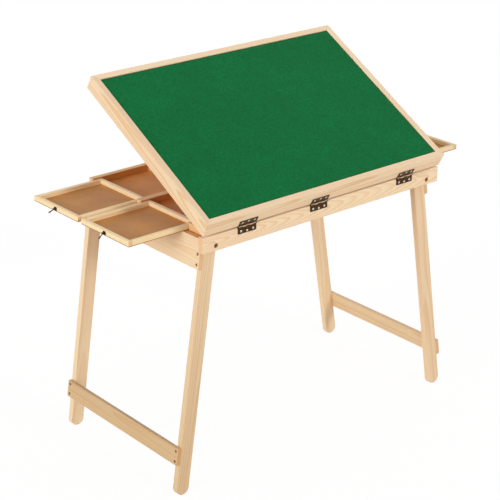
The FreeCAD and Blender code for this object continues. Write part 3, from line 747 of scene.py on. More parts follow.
def carved(shape, tools, operation="DIFFERENCE"):
    """The shape with the tools cut out of it, or with UNION grown onto it."""
    work = as_object("work", shape)
    tool = as_object("tool", gathered(tools))
    change = work.modifiers.new("carve", "BOOLEAN")
    change.solver = "EXACT"
    change.operation = operation
    change.object = tool
    result = bmesh.new()
    result.from_object(work, bpy.context.evaluated_depsgraph_get())
    for used in (work, tool):
        mesh = used.data
        bpy.data.objects.remove(used)
        bpy.data.meshes.remove(mesh)
    bmesh.ops.remove_doubles(result, verts=result.verts, dist=TINY)
    return result


# ----- the bench: grain and finish
def grained(shape, along, draw, shade=PALE, slant=0.0):
    """Give each vertex its place in the log: along the grain, across the board and through it.

    The shade is how ripe the board's colour is at its two ends. Faces across the fibres are deeper.
    A board sawn at a slant to the log shows its rings as long arches.
    """
    low, high = corners(vertex.co for vertex in shape.verts)
    middle = (low + high) / 2.0
    size = high - low
    others = sorted((axis for axis in range(3) if axis != along), key=lambda axis: -size[axis])
    heart = Vector((draw.uniform(-LOG_REACH, LOG_REACH), draw.uniform(-HEART_SIDE, HEART_SIDE),
                    draw.choice((-1, 1)) * draw.uniform(*HEART_DEPTH)))
    grain = shape.verts.layers.float_vector.new("grain")
    ripe = shape.verts.layers.float.new("shade")
    deep = shape.faces.layers.float.new("deep")
    for vertex in shape.verts:
        place = vertex.co - middle
        in_log = Vector([place[axis] for axis in (along, *others)]) + heart
        in_log.z += slant * place[along]
        vertex[grain] = in_log
        vertex[ripe] = shade[0] + (shade[1] - shade[0]) * (vertex.co[along] - low[along]) / size[along]
    shape.normal_update()
    for face in shape.faces:
        face[deep] = END_GRAIN if abs(face.normal[along]) > CLEARLY else 0.0
    return shape


def batten(shape, along, draw):
    """A plain strip of pine: its edges barely eased, and its grain."""
    edge = chosen("sizes").batten_edge
    return grained(soften(shape, edge), along, draw)


def deepened(shape, share, test):
    """Give a deeper colour to the faces whose normal passes a test."""
    deep = shape.faces.layers.float["deep"]
    for face in shape.faces:
        if test(face.normal):
            face[deep] = share


def dressed(name, shape, body, slot, node):
    """A finished piece that rides on a body and stands for a frame node."""
    bmesh.ops.recalc_face_normals(shape, faces=shape.faces)
    piece = as_object(name, shape)
    piece.data.shade_smooth()
    piece.data.set_sharp_from_angle(angle=CREASE)
    flats = piece.modifiers.new("flat faces", "WEIGHTED_NORMAL")
    flats.keep_sharp = True
    piece.data.materials.append(bpy.data.materials[finish_name(slot)])
    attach(piece, body)
    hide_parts(node)


def finish_frame_node(node, slot):
    """Give a frame node that stays as it is one of the table's finishes."""
    piece = frame["nodes"][node]
    piece.data.materials.clear()
    piece.data.materials.append(bpy.data.materials[finish_name(slot)])


def board(node, along, edge, slot, body, matrix=IN_PLACE):
    """One straight board in the place of a frame node."""
    shape = soften(block(*drawn_spans(node, matrix)), edge)
    grained(shape, along, random.Random(node))
    dressed(node + "_piece", placed(shape, matrix), body, slot, node)


# ----- the tilting top
def mitre(shape, middle, point):
    """Cut a board, whose middle is given, diagonally inwards from a corner of the frame."""
    across = Vector((math.copysign(1.0, point.y), -math.copysign(1.0, point.x), 0.0)).normalized()
    if (middle - point).dot(across) > 0.0:
        across = -across
    rim = cut_away(shape, point, across)
    if rim:
        bmesh.ops.contextual_create(shape, geom=rim)


def top_frame():
    """Four mitred boards, each drawn with the top closed and then raised."""
    sizes = chosen("sizes")
    outer_low, _ = drawn_box("top_left_board", RAISED)
    _, outer_high = drawn_box("top_right_board", RAISED)
    limits = {"left": outer_low.x, "right": outer_high.x, "front": outer_low.y, "rear": outer_high.y}
    for side in ROWS + SIDES:
        node = "top_" + side + "_board"
        low, high = drawn_box(node, RAISED)
        shape = box_shape(low, high)
        lengthwise = ALONG_X if side in ROWS else ALONG_Y
        for end_x in SIDES if side in ROWS else (side,):
            for end_y in ROWS if side in SIDES else (side,):
                mitre(shape, (low + high) / 2.0, Vector((limits[end_x], limits[end_y], 0.0)))
        bmesh.ops.remove_doubles(shape, verts=shape.verts, dist=TINY)
        long_edges = [edge for edge in shape.edges
                      if abs((edge.verts[0].co - edge.verts[1].co).normalized()[lengthwise]) > SQUARELY]
        soften(shape, sizes.board_edge, long_edges)
        soften(shape, sizes.mitre_edge, steps=2)
        grained(shape, lengthwise, random.Random(node), SHADES.get(node, PALE))
        dressed(node + "_piece", placed(shape, RAISED), "top", "pine_boards", node)


def inside(point, low, high, margin):
    """True where a point lies further than the margin within a box, as seen from above."""
    return all(low[axis] + margin < point[axis] < high[axis] - margin for axis in (ALONG_X, ALONG_Y))


def felt_field():
    """The felt glued to the panel: soft edges and a slightly uneven face."""
    sizes = chosen("sizes")
    low, high = drawn_box("felt", RAISED)
    half_rim = sizes.felt_rim_width / 2.0
    draw = random.Random("felt")
    waves = [(draw.uniform(*FELT_WAVES), draw.uniform(*FELT_WAVES), draw.uniform(0.0, FELT_PHASE))
             for _ in range(FELT_WAVE_COUNT)]
    shape = box_shape(low, high)
    top = [face for face in shape.faces if face.normal.z > SQUARELY]
    bmesh.ops.inset_region(shape, faces=top, thickness=sizes.felt_rim_width, use_even_offset=True)
    field = [edge for edge in shape.edges if all(face.normal.z > SQUARELY for face in edge.link_faces)
             and all(inside(vertex.co, low, high, half_rim) for vertex in edge.verts)]
    bmesh.ops.subdivide_edges(shape, edges=field, cuts=FELT_CUTS, use_grid_fill=True)
    rim = shape.verts.layers.float.new("rim")
    for vertex in shape.verts:
        place = vertex.co
        if inside(place, low, high, half_rim):
            reach = min(place.x - low.x, high.x - place.x, place.y - low.y, high.y - place.y)
            share = min(1.0, max(0.0, reach - sizes.felt_rim_width) / sizes.felt_rim_fade)
            heights = [math.sin(place.x * by_x + place.y * by_y + start) for by_x, by_y, start in waves]
            place.z -= share * sizes.felt_unevenness * (1.0 + sum(heights) / len(heights))
        else:
            # the band along the edge is marked for the painted shadow line of the felt's finish
            vertex[rim] = 1.0
            if place.z > (low.z + high.z) / 2.0:
                place.z -= sizes.felt_edge
    dressed("felt_field", placed(shape, RAISED), "top", "green_felt", "felt")


def panel_and_cleats():
    """The board under the felt and the cleats that carry it."""
    sizes = chosen("sizes")
    panel = soften(block(*drawn_spans("top_panel", RAISED)), sizes.batten_edge)
    dressed("top_panel_board", placed(panel, RAISED), "top", "hardboard", "top_panel")
    x, y, z = drawn_spans("panel_cleats", RAISED)
    width = z[1] - z[0]
    between = (y[0] + width, y[1] - width)
    draw = random.Random("cleats")
    cleats = [batten(block(x, span, z), ALONG_X, draw) for span in end_spans(y, width)]
    cleats += [batten(block(span, between, z), ALONG_Y, draw) for span in end_spans(x, width)]
    dressed("panel_cleat_strips", placed(gathered(cleats), RAISED), "top", "pine_battens", "panel_cleats")


# ----- the case
def case_boards():
    """Front board, rear board and the rest strip, with the recesses for the bolt heads."""
    sizes = chosen("sizes")
    for row in ROWS:
        node = row + "_board"
        x, y, z = drawn_spans(node)
        ends = drilled(outer_end(y, row), OUTWARDS[row], sizes.bolt_recess_depth)
        recesses = [rod(sizes.bolt_recess_radius, ALONG_Y, ends, JOINTS[side + "_legs_fold"]["pos_m"])
                    for side in SIDES]
        shape = soften(carved(block(x, y, z), recesses), sizes.board_edge)
        grained(shape, ALONG_X, random.Random(node), PALE, sizes.arch_slant)
        dressed(node + "_piece", shape, "case", "pine_boards", node)
    board("rear_rest", ALONG_X, sizes.batten_edge, "pine_battens", "case")


def deck_and_battens():
    """The hardboard deck and the four battens under it."""
    sizes = chosen("sizes")
    deck = soften(block(*drawn_spans("deck")), sizes.batten_edge)
    dressed("deck_board", deck, "case", "hardboard", "deck")
    x, y, z = drawn_spans("deck_battens")
    width = sizes.deck_batten_width
    inner = inner_end("drawer_guides")
    outer_left, outer_right = end_spans(x, width)
    spans = (outer_left, (-inner - width, -inner), (inner, inner + width), outer_right)
    draw = random.Random("battens")
    made = [batten(block(span, y, z), ALONG_Y, draw) for span in spans]
    dressed("deck_batten_strips", gathered(made), "case", "pine_battens", "deck_battens")


def guides():
    """Front, centre and rear guides with keeper lips over the drawers, on each side, with painted shade on
    their faces towards the channels.
    """
    sizes = chosen("sizes")
    lip = sizes.keeper_lip
    _, y, z = drawn_spans("drawer_guides")
    _, _, drawer_z = drawn_spans("left_front_drawer_ends")
    front, rear = channel("front"), channel("rear")
    rows = ((y[0], front[0] + lip), (front[1] - lip, rear[0] + lip), (rear[1] - lip, y[1]))
    cleared = (z[0] - lip, drawer_z[1] + sizes.drawer_side_gap)
    draw = random.Random("guides")
    made = []
    for x in twin_spans("drawer_guides"):
        for row in rows:
            tools = [block((x[0] - lip, x[1] + lip), span, cleared) for span in (front, rear)]
            made.append(batten(carved(block(x, row, z), tools), ALONG_X, draw))
    shape = gathered(made)
    # painted shade on the faces towards the drawer channels
    deepened(shape, INSIDE_SHADE, lambda normal: abs(normal.y) > MOSTLY)
    deepened(shape, OPEN_END, lambda normal: abs(normal.x) > MOSTLY)
    dressed("drawer_guide_battens", shape, "case", "pine_battens", "drawer_guides")


def channel(row):
    """The span of y in which the drawers of a row slide."""
    gap = chosen("sizes").drawer_side_gap
    _, y, _ = drawn_spans("left_" + row + "_drawer_ends")
    return y[0] - gap, y[1] + gap


def dividers():
    """Strips across the channels that stop the closed drawers."""
    x, _, z = drawn_spans("bay_dividers")
    start = inner_end("drawer_guides")
    draw = random.Random("dividers")
    made = [batten(block(span, channel(row), z), ALONG_Y, draw)
            for row in ROWS for span in ((x[0], -start), (start, x[1]))]
    dressed("bay_divider_strips", gathered(made), "case", "pine_battens", "bay_dividers")


# ----- the prop
def racks():
    """Two toothed strips on the deck, each notch cut with a gentle front and a steep back."""
    sizes = chosen("sizes")
    _, y, z = drawn_spans("prop_racks")
    run = sizes.notch_slope
    depth = sizes.notch_depth
    draw = random.Random("racks")
    made = []
    for x in twin_spans("prop_racks"):
        notches = []
        start = y[0] + sizes.notch_pitch / 2.0
        while start + sizes.notch_pitch < y[1]:
            wedge = block((x[0] - depth, x[1] + depth), (start, start + run), (z[1] - depth, z[1] + depth))
            cut_away(wedge, (0.0, start, z[1]), (0.0, -depth, -run))
            bmesh.ops.holes_fill(wedge, edges=wedge.edges)
            notches.append(wedge)
            start += sizes.notch_pitch
        rack = soften(carved(block(x, y, z), notches), sizes.batten_edge / 2.0, steps=2)
        made.append(grained(rack, ALONG_Y, draw))
    dressed("prop_rack_strips", gathered(made), "case", "pine_battens", "prop_racks")


def prop():
    """The raised prop, drawn level from its pivot to the rear and then leaned down."""
    sizes = chosen("sizes")
    leaned = Matrix.Translation(PROP_PIVOT) @ Matrix.Rotation(-PROP_SLOPE, 4, "X")
    _, y, z = drawn_spans("prop_arms", leaned)
    radius = (z[1] - z[0]) / 2.0
    pivot = (0.0, 0.0, 0.0)
    foot = (0.0, y[1] - radius, 0.0)
    half = sizes.prop_arm_thickness / 2.0
    draw = random.Random("prop arms")
    made = []
    for x in twin_spans("prop_arms"):
        through = (x[0] - half, x[1] + half)
        bar = block(x, (0.0, foot[1]), (-half, half))
        arm = carved(bar, [rod(radius, ALONG_X, x, place) for place in (pivot, foot)], "UNION")
        arm = carved(arm, [rod(sizes.prop_pin_radius, ALONG_X, through, pivot),
                           rod(sizes.prop_dowel_radius, ALONG_X, through, foot)])
        made.append(batten(arm, ALONG_Y, draw))
    dressed("prop_arm_bars", placed(gathered(made), leaned), "prop", "pine_battens", "prop_arms")
    board("prop_crossbar", ALONG_X, sizes.batten_edge * 2.0, "pine_battens", "prop", leaned)
    x, _, z = drawn_spans("prop_foot_dowel", leaned)
    dowel = soften(rod((z[1] - z[0]) / 2.0, ALONG_X, x, foot), sizes.batten_edge * 2.0)
    grained(dowel, ALONG_X, random.Random("dowel"))
    dressed("prop_foot_rod", placed(dowel, leaned), "prop", "pine_battens", "prop_foot_dowel")


def prop_brackets():
    """Two blocks under the panel with the pins that carry the prop."""
    sizes = chosen("sizes")
    _, y, z = drawn_spans("prop_brackets", RAISED)
    pivot = RAISED.inverted() @ PROP_PIVOT
    draw = random.Random("brackets")
    made = []
    for x in twin_spans("prop_brackets"):
        bracket = block(x, y, z)
        soften(bracket, sizes.bracket_corner, edges_at(bracket, z[0], ALONG_X))
        through = (x[0] - sizes.tool_overrun, x[1] + sizes.tool_overrun)
        hole = rod(sizes.prop_pin_radius, ALONG_X, through, pivot)
        made.append(batten(carved(bracket, [hole]), ALONG_Y, draw))
    dressed("prop_bracket_blocks", placed(gathered(made), RAISED), "top", "pine_battens", "prop_brackets")
    _, _, z = drawn_spans("prop_pivot_pins", RAISED)
    pins = [soften(rod((z[1] - z[0]) / 2.0, ALONG_X, x, pivot), sizes.metal_edge * 2.0)
            for x in twin_spans("prop_pivot_pins")]
    dressed("prop_pin_rods", placed(gathered(pins), RAISED), "top", "zinc", "prop_pivot_pins")


# ----- leg frames
def leg_lean(side):
    """The place and lean of a leg frame, from its pivot and where its foot stands."""
    sizes = chosen("sizes")
    pivot = Vector(JOINTS[side + "_legs_fold"]["pos_m"])
    foot = sizes.leg_width / 2.0
    x, _, _ = drawn_spans(side + "_front_leg")
    reach = max(abs(end - pivot.x) for end in x) - foot
    drop = pivot.z - foot
    lean = math.atan2(reach, drop) - math.asin(sizes.pivot_off_middle / math.hypot(reach, drop))
    return (Matrix.Translation(Vector((pivot.x, 0.0, pivot.z)))
            @ Matrix.Rotation(-OUTWARDS[side] * lean, 4, "Y"))


def leg_part(node, shape, along, body, leaned):
    """Grain a part of a leg frame, lean it out and dress it."""
    grained(shape, along, random.Random(node), SHADES.get(node, PALE))
    dressed(node + "_piece", placed(shape, leaned), body, "pine_legs", node)


def leg_frames():
    """Two frames of two legs, a rail and a stretcher, drawn upright and leaned out."""
    sizes = chosen("sizes")
    for side in SIDES:
        leaned = leg_lean(side)
        body = side + "_legs"
        for row in ROWS:
            node = side + "_" + row + "_leg"
            x, y, z = drawn_spans(node, leaned)
            leg = block(x, y, z)
            # a half-round foot, and the inner corner of the top eased
            soften(leg, (x[1] - x[0]) / 2.0 - TINY, edges_at(leg, z[0], ALONG_Y), steps=16)
            inner_top = [edge for edge in edges_at(leg, z[1], ALONG_Y)
                         if edge.verts[0].co.x * OUTWARDS[side] < 0.0]
            soften(leg, sizes.leg_shoulder, inner_top, steps=8)
            leg_part(node, soften(leg, sizes.leg_edge), ALONG_Z, body, leaned)
        radius = sizes.screw_head_radius + sizes.screw_recess_gap
        for part in ("upper_rail", "lower_stretcher"):
            node = side + "_" + part
            x, y, z = drawn_spans(node, leaned)
            ends = drilled(outer_end(x, side), OUTWARDS[side], sizes.screw_recess)
            mouths = [rod(radius, ALONG_X, ends, (0.0, screw_y, screw_z))
                      for screw_y, screw_z in screw_places(side, leaned) if z[0] < screw_z < z[1]]
            rail = soften(carved(block(x, y, z), mouths), sizes.rail_edge)
            leg_part(node, rail, ALONG_Y, body, leaned)


def screw_places(side, leaned):
    """Y and Z of a leg frame's eight screws, as the frame is drawn upright."""
    back = leaned.inverted()
    screws = []
    for vertex in frame["nodes"][side + "_frame_screws"].data.vertices:
        point = back @ vertex.co
        near = [points for points in screws if (points[0] - point).yz.length < SCREW_SPREAD]
        if near:
            near[0].append(point)
        else:
            screws.append([point])
    middles = [sum(corners(points), Vector()) / 2.0 for points in screws]
    return [(middle.y, middle.z) for middle in middles]


# ----- fasteners
def cross_screw(radius, dome, depth, shank_radius):
    """A screw along -Z: a domed head with a cross recess, and its shank below the origin."""
    rim = -chosen("sizes").head_rim
    profile = [(dome * up, radius * out) for up, out in SCREW_DOME]
    profile += [(rim, radius), (rim, shank_radius), (-depth, shank_radius), (-depth, 0.0)]
    shape = turned(profile, ALONG_Z)
    wide, narrow = ((-radius * share, radius * share) for share in CROSS_SHARES)
    for x, y in ((wide, narrow), (narrow, wide)):
        shape = carved(shape, [block(x, y, (dome * CROSS_FLOOR, dome * 2.0))])
    return shape


def driven(seat, quarter_turn, axis, draw):
    """Where a screw sits: turned a quarter about an axis, and its cross at random."""
    return (Matrix.Translation(seat) @ Matrix.Rotation(quarter_turn, 4, axis)
            @ Matrix.Rotation(draw.uniform(0.0, SCREW_TURN), 4, "Z"))


def frame_screws():
    """The browned wood screws of both leg frames."""
    sizes = chosen("sizes")
    for side in SIDES:
        node = side + "_frame_screws"
        leaned = leg_lean(side)
        x, _, _ = drawn_spans(node, leaned)
        seat = outer_end(x, side) - OUTWARDS[side] * sizes.screw_dome
        draw = random.Random(node)
        matrices = [driven(Vector((seat, y, z)), OUTWARDS[side] * math.pi / 2.0, "Y", draw)
                    for y, z in screw_places(side, leaned)]
        screw = cross_screw(sizes.screw_head_radius, sizes.screw_dome, x[1] - x[0] - sizes.screw_dome,
                            sizes.screw_shank_radius)
        screws = placed(copies(screw, matrices), leaned)
        dressed(side + "_wood_screws", screws, side + "_legs", "dark_bolts", node)


def pivot_bolts():
    """Finishes for the bolts, nuts and spacer tubes, which keep the frame's shapes."""
    for node, slot in (("leg_bolts", "dark_bolts"), ("leg_nuts", "zinc"), ("leg_spacers", "zinc")):
        finish_frame_node(node, slot)


# ----- hinges
def hinge_spans():
    """The span of x of each hinge, from the leaves in the frame."""
    xs = sorted({round(vertex.co.x, 5) for vertex in frame["nodes"]["hinge_leaves_lower"].data.vertices})
    gaps = [(left, right) for left, right in zip(xs, xs[1:]) if right - left > HINGES_APART]
    starts = [xs[0]] + [right for _, right in gaps]
    ends = [left for left, _ in gaps] + [xs[-1]]
    return list(zip(starts, ends))


def highlight_marked(knuckle):
    """Mark the upper front of a knuckle, where the bronze finish paints a highlight."""
    bright = knuckle.faces.layers.float.new("bright")
    knuckle.normal_update()
    for face in knuckle.faces:
        face[bright] = 1.0 if face.normal.z > HIGHLIGHT_FACING_UP and face.normal.y < 0.0 else 0.0
    return knuckle


def hinge_leaf(x, y, z, way):
    """One leaf: a plate with eased corners and the knuckles rolled from it.

    The way is +1 for the leaf that lies above the barrel and -1 for the one below it.
    """
    sizes = chosen("sizes")
    near, free = z if way > 0.0 else reversed(z)
    plate = block(x, y, z)
    soften(plate, sizes.leaf_corner, edges_at(plate, free, ALONG_Y), steps=6)
    parts = [soften(plate, sizes.metal_edge, steps=2)]
    step = (x[1] - x[0]) / sizes.knuckle_count
    for place in range(1 if way > 0.0 else 0, sizes.knuckle_count, 2):
        start = x[0] + place * step + sizes.knuckle_gap / 2.0
        span = (start, start + step - sizes.knuckle_gap)
        knuckle = soften(rod(sizes.barrel_radius, ALONG_X, span, HINGE_LINE), sizes.metal_edge, steps=2)
        parts += [highlight_marked(knuckle), block(span, y, sorted((HINGE_LINE.z, near)))]
    return gathered(parts)


def hinges():
    """Three butt hinges: lower leaves on the case, upper leaves on the top, and pins."""
    sizes = chosen("sizes")
    spans = hinge_spans()
    for name, body, matrix, way in LEAVES:
        node = "hinge_leaves_" + name
        _, y, z = drawn_spans(node, matrix)
        near = HINGE_LINE.z + way * (sizes.barrel_radius + sizes.knuckle_gap)
        plate_y = (y[1] - sizes.leaf_thickness, y[1])
        plate_z = (near, z[1]) if way > 0.0 else (z[0], near)
        leaves = [hinge_leaf(x, plate_y, plate_z, way) for x in spans]
        dressed(node + "_piece", placed(gathered(leaves), matrix), body, "bronze", node)
    pin_x, _, pin_z = drawn_spans("hinge_pins")
    radius = (pin_z[1] - pin_z[0]) / 2.0
    overhang = pin_x[1] - spans[-1][1]
    pins = []
    for x in spans:
        for end, way in zip(x, (-1.0, 1.0)):
            cap = rod(radius, ALONG_X, (end, end + way * overhang), HINGE_LINE)
            pins.append(soften(cap, radius / 2.0))
        pins.append(rod(radius * PIN_IN_CAP, ALONG_X, x, HINGE_LINE))
    dressed("hinge_pin_rods", gathered(pins), "case", "bronze", "hinge_pins")


def hinge_screws():
    """Three bright cross-head screws in each leaf, the middle one nearer the leaf's free edge."""
    sizes = chosen("sizes")
    draw = random.Random("hinge screws")
    dome = sizes.leaf_screw_dome
    for name, body, matrix, way in LEAVES:
        node = "hinge_screws_" + name
        _, y, _ = drawn_spans(node, matrix)
        _, _, leaf_z = drawn_spans("hinge_leaves_" + name, matrix)
        free = leaf_z[1] if way > 0.0 else leaf_z[0]
        matrices = []
        for start, end in hinge_spans():
            for step in (-1, 0, 1):
                inset = sizes.leaf_screw_inset - (sizes.leaf_screw_stagger if step == 0 else 0.0)
                seat = Vector(((start + end) / 2.0 + step * sizes.leaf_screw_spread, y[0] + dome,
                               free - way * inset))
                matrices.append(driven(seat, math.pi / 2.0, "X", draw))
        screw = cross_screw(sizes.leaf_screw_radius, dome, y[1] - y[0] - dome, sizes.leaf_screw_shank)
        screws = placed(copies(screw, matrices), matrix)
        dressed(node + "_piece", screws, body, "bright_screws", node)


# ----- drawers
def drawer_wall(x, y, z, thickness, along, draw):
    """One wall of a tray: its upper long edges well rounded, the others only eased."""
    sizes = chosen("sizes")
    wall = block(x, y, z)
    rims = [edge for edge in wall.edges if edge.calc_length() > thickness
            and all(vertex.co.z > sum(z) / 2.0 for vertex in edge.verts)]
    soften(wall, sizes.drawer_rim, rims, steps=4)
    return grained(soften(wall, sizes.drawer_edge, steps=2), along, draw)


def drawers():
    """Four shallow trays: ends over sides, on a thin bottom as large as the tray."""
    sizes = chosen("sizes")
    for name in DRAWERS:
        body = name + "_drawer"
        x, y, z = drawn_spans(body + "_ends")
        side_x, _, side_z = drawn_spans(body + "_sides")
        thickness = side_x[0] - x[0]
        draw = random.Random(name)
        ends = [drawer_wall(span, y, z, thickness, ALONG_Y, draw)
                for span in ((x[0], side_x[0]), (side_x[1], x[1]))]
        dressed(body + "_end_boards", gathered(ends), body, "pine_drawers", body + "_ends")
        sides = [drawer_wall(side_x, span, side_z, thickness, ALONG_X, draw)
                 for span in end_spans(y, thickness)]
        dressed(body + "_side_boards", gathered(sides), body, "pine_drawers", body + "_sides")
        bottom = soften(block(*drawn_spans(body + "_bottom")), sizes.drawer_edge)
        bottom.normal_update()
        bottom.faces.layers.float.new("deep")
        deepened(bottom, 1.0, lambda normal: abs(normal.z) < MOSTLY)
        dressed(body + "_bottom_board", bottom, body, "drawer_hardboard", body + "_bottom")


def pull_base(name, pivot, outwards):
    """A small plate on a drawer, with rounded corners, two ears and the pin between them."""
    sizes = chosen("sizes")
    node = name + "_pull_plate"
    x, y, z = drawn_spans(node)
    face = x[0] if outwards > 0.0 else x[1]
    plate = block(sorted((face, face + outwards * sizes.plate_thickness)), y, z)
    soften(plate, sizes.plate_corner, [edge for edge in plate.edges if runs_along(edge, ALONG_X)], steps=6)
    parts = [soften(plate, sizes.metal_edge, steps=2)]
    gap = sizes.drop_width / 2.0 + sizes.ear_gap
    ear_z = (pivot.z - sizes.ear_radius, pivot.z + sizes.ear_radius)
    for way in (-1.0, 1.0):
        start = pivot.y + way * gap
        ends = (start, start + way * sizes.ear_thickness)
        ear = rod(sizes.ear_radius, ALONG_Y, ends, pivot)
        neck = block(sorted((face, pivot.x)), sorted(ends), ear_z)
        parts.append(soften(carved(neck, [ear], "UNION"), sizes.metal_edge, steps=2))
    reach = gap + sizes.ear_thickness / 2.0
    parts.append(rod(sizes.pull_pin_radius, ALONG_Y, (pivot.y - reach, pivot.y + reach), pivot))
    dressed(name + "_pull_base", gathered(parts), name + "_drawer", "bronze", node)


def pull_handle(name, pivot, outwards):
    """The turned drop that swings in a plate's ears, at the angle that it has in the frame."""
    ball = chosen("sizes").drop_ball_radius
    node = name + "_pull_drop"
    x, _, z = drawn_spans(node)
    out = max(x[1] - pivot.x, pivot.x - x[0])
    down = pivot.z - z[0]
    hang = math.atan2(down - ball, out - ball)
    reach = math.hypot(down - ball, out - ball) + ball
    if out < down * STRAIGHT_DOWN:
        hang = math.pi / 2.0
        reach = down
    aim = Matrix.Rotation(0.0 if outwards > 0.0 else math.pi, 4, "Z") @ Matrix.Rotation(hang, 4, "Y")
    drop = placed(turned_drop(reach), Matrix.Translation(pivot) @ aim)
    dressed(name + "_pull_handle", drop, name + "_pull", "bronze", node)


def turned_drop(reach):
    """A drop along +X: a round eye about Y, a waisted stem and a pear-shaped end."""
    sizes = chosen("sizes")
    half = sizes.drop_width / 2.0
    pivot = (0.0, 0.0, 0.0)
    hole = rod(sizes.pull_pin_radius + sizes.pull_pin_play, ALONG_Y, (-2.0 * half, 2.0 * half), pivot,
               SMALL_SIDES)
    eye = carved(rod(sizes.drop_eye_radius, ALONG_Y, (-half, half), pivot, EYE_SIDES), [hole])
    profile = [(sizes.drop_eye_radius * along, sizes.drop_ball_radius * out) for along, out in DROP_NECK]
    profile += [(reach * along, sizes.drop_ball_radius * out) for along, out in DROP_STEM]
    return gathered([soften(eye, sizes.metal_edge, steps=2), turned(profile, ALONG_X)])


def pulls():
    """A plate and a drop on each drawer."""
    for name in DRAWERS:
        outwards = OUTWARDS[name.split("_")[0]]
        pivot = Vector(JOINTS[name + "_pull_swing"]["pos_m"])
        pull_base(name, pivot, outwards)
        pull_handle(name, pivot, outwards)


# ----- the stage
def soft_light(name, strength, source, softness):
    """A distant light of one strength everywhere."""
    lamp = bpy.data.objects.new(name, bpy.data.lights.new(name, "SUN"))
    bpy.context.scene.collection.objects.link(lamp)
    lamp.data.energy = strength
    lamp.data.angle = softness
    lamp.rotation_mode = "QUATERNION"
    lamp.rotation_quaternion = Vector(source).to_track_quat("Z", "Y")


def set_camera():
    """The camera, as the stage's settings place it."""
    scene = bpy.context.scene
    choice = chosen("stage")
    camera = bpy.data.objects.new("camera", bpy.data.cameras.new("camera"))
    scene.collection.objects.link(camera)
    camera.data.lens = choice.lens
    camera.data.sensor_width = 36.0
    camera.data.clip_end = 100.0
    camera.rotation_mode = "QUATERNION"
    turn = (Matrix.Rotation(-choice.camera_yaw, 3, "Z")
            @ Matrix.Rotation(math.pi / 2.0 - choice.camera_pitch, 3, "X")
            @ Matrix.Rotation(choice.camera_roll, 3, "Z"))
    camera.rotation_quaternion = turn.to_quaternion()
    camera.location = choice.camera_place
    scene.camera = camera
    scene.view_settings.view_transform = "Standard"


def set_sky():
    """A white world: even where the camera sees it, weaker overhead in the light it gives."""
    scene = bpy.context.scene
    choice = chosen("stage")
    scene.world = bpy.data.worlds.new("studio")
    scene.world.use_nodes = True
    sky = Nodes(scene.world.node_tree)
    background = next(node for node in sky.tree.nodes if node.type == "BACKGROUND")
    seen = sky.seen_directly()
    around = sky.node("ShaderNodeTexCoord", {}, {}, "Generated")
    height = sky.node("ShaderNodeSeparateXYZ", {}, {"Vector": around}, "Z")
    dim = height * (choice.sky_high - choice.sky_low) + choice.sky_low
    strength = seen * (1.0 - dim) + dim
    sky.feed(background, {"Color": linear((1.0, 1.0, 1.0)), "Strength": strength})


def lay_floor():
    """A plain pale floor that shows the camera only a little of its shadow."""
    choice = chosen("stage")
    shape = bmesh.new()
    bmesh.ops.create_grid(shape, x_segments=2, y_segments=2, size=choice.floor_size / 2.0)
    floor = as_object("floor", shape)
    pale = Finish("floor", Roughness=0.9)
    seen = pale.seen_directly()
    pale.feed(pale.shader, {"Base Color": pale.mix(seen, linear(choice.floor_bounce),
                                                   linear(choice.floor_pale))})
    glow = pale.node("ShaderNodeEmission", {}, {"Strength": choice.floor_glow})
    own = Wire(pale, pale.shader.outputs["BSDF"])
    shown = pale.node("ShaderNodeMixShader", {}, {0: seen * (1.0 - choice.floor_show), 1: own, 2: glow})
    output = next(node for node in pale.tree.nodes if node.type == "OUTPUT_MATERIAL")
    pale.feed(output, {"Surface": shown})
    floor.data.materials.append(pale.material)


def stage():
    """Camera, soft light and a plain pale floor."""
    choice = chosen("stage")
    set_camera()
    soft_light("key light", choice.key_strength, choice.key_from, choice.key_softness)
    soft_light("fill light", choice.fill_strength, choice.fill_from, choice.fill_softness)
    set_sky()
    lay_floor()


# ----- operators
class MakeTopFrame(bpy.types.Operator):
    """Make the four mitred boards of the tilting top"""
    bl_idname = "jigsaw_table.top_frame"
    bl_label = "Top frame"

    def execute(self, context):
        top_frame()
        return {"FINISHED"}


class MakeFelt(bpy.types.Operator):
    """Make the felt field, its panel and the cleats under it"""
    bl_idname = "jigsaw_table.felt"
    bl_label = "Felt and panel"

    def execute(self, context):
        felt_field()
        panel_and_cleats()
        return {"FINISHED"}


class MakeCase(bpy.types.Operator):
    """Make the boards of the case, its deck and the battens under it"""
    bl_idname = "jigsaw_table.case"
    bl_label = "Case"

    def execute(self, context):
        case_boards()
        deck_and_battens()
        return {"FINISHED"}


class MakeGuides(bpy.types.Operator):
    """Make the drawer guides and the dividers that stop the drawers"""
    bl_idname = "jigsaw_table.guides"
    bl_label = "Drawer guides"

    def execute(self, context):
        guides()
        dividers()
        return {"FINISHED"}


class MakeProp(bpy.types.Operator):
    """Make the prop, its brackets and the toothed racks"""
    bl_idname = "jigsaw_table.prop"
    bl_label = "Prop"

    def execute(self, context):
        racks()
        prop()
        prop_brackets()
        return {"FINISHED"}


class MakeLegs(bpy.types.Operator):
    """Make the two leg frames"""
    bl_idname = "jigsaw_table.legs"
    bl_label = "Leg frames"

    def execute(self, context):
        leg_frames()
        return {"FINISHED"}


class MakeFasteners(bpy.types.Operator):
    """Make the wood screws and finish the pivot bolts"""
    bl_idname = "jigsaw_table.fasteners"
    bl_label = "Screws and bolts"

    def execute(self, context):
        frame_screws()
        pivot_bolts()
        return {"FINISHED"}


class MakeHinges(bpy.types.Operator):
    """Make the three hinges with their pins and screws"""
    bl_idname = "jigsaw_table.hinges"
    bl_label = "Hinges"

    def execute(self, context):
        hinges()
        hinge_screws()
        return {"FINISHED"}


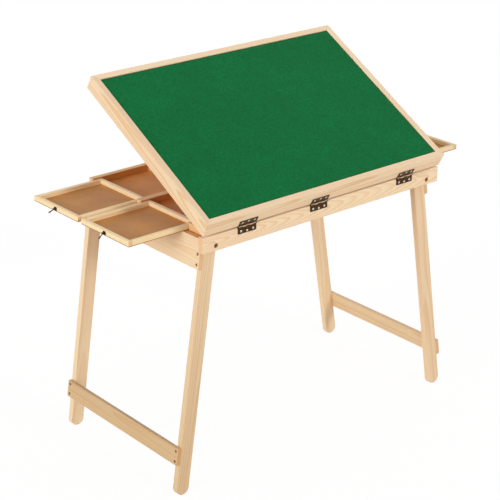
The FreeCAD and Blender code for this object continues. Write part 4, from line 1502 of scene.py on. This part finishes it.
class MakeDrawers(bpy.types.Operator):
    """Make the four drawers and their pulls"""
    bl_idname = "jigsaw_table.drawers"
    bl_label = "Drawers"

    def execute(self, context):
        drawers()
        pulls()
        return {"FINISHED"}


class MakeStage(bpy.types.Operator):
    """Set up the camera, the light and the floor"""
    bl_idname = "jigsaw_table.stage"
    bl_label = "Stage"

    def execute(self, context):
        stage()
        return {"FINISHED"}


class MakeFinishes(bpy.types.Operator):
    """Make the materials of the table"""
    bl_idname = "jigsaw_table.finishes"
    bl_label = "Finishes"

    def execute(self, context):
        make_materials()
        return {"FINISHED"}


OPERATORS = (MakeFinishes, MakeTopFrame, MakeFelt, MakeCase, MakeGuides, MakeProp, MakeLegs,
             MakeFasteners, MakeHinges, MakeDrawers, MakeStage)


class JigsawTablePanel(bpy.types.Panel):
    """Lists the steps that build the table"""
    bl_idname = "VIEW3D_PT_jigsaw_table"
    bl_label = "Jigsaw table"
    bl_space_type = "VIEW_3D"
    bl_region_type = "UI"
    bl_category = "Jigsaw table"

    def draw(self, context):
        for operator in OPERATORS:
            self.layout.operator(operator.bl_idname)


SETTINGS = {
    "jigsaw_table_sizes": JigsawTableSizes,
    "jigsaw_table_colours": JigsawTableColours,
    "jigsaw_table_stage": JigsawTableStage,
}
CLASSES = (*SETTINGS.values(), *OPERATORS, JigsawTablePanel)


def register():
    for item in CLASSES:
        bpy.utils.register_class(item)
    for name, group in SETTINGS.items():
        setattr(bpy.types.Scene, name, PointerProperty(type=group))


def unregister():
    for name in SETTINGS:
        delattr(bpy.types.Scene, name)
    for item in reversed(CLASSES):
        bpy.utils.unregister_class(item)


def main():
    register()
    bpy.ops.jigsaw_table.finishes()
    bpy.ops.jigsaw_table.top_frame()
    bpy.ops.jigsaw_table.felt()
    bpy.ops.jigsaw_table.case()
    bpy.ops.jigsaw_table.guides()
    bpy.ops.jigsaw_table.prop()
    bpy.ops.jigsaw_table.legs()
    bpy.ops.jigsaw_table.fasteners()
    bpy.ops.jigsaw_table.hinges()
    bpy.ops.jigsaw_table.drawers()
    bpy.ops.jigsaw_table.stage()


if __name__ == "__main__":
    main()
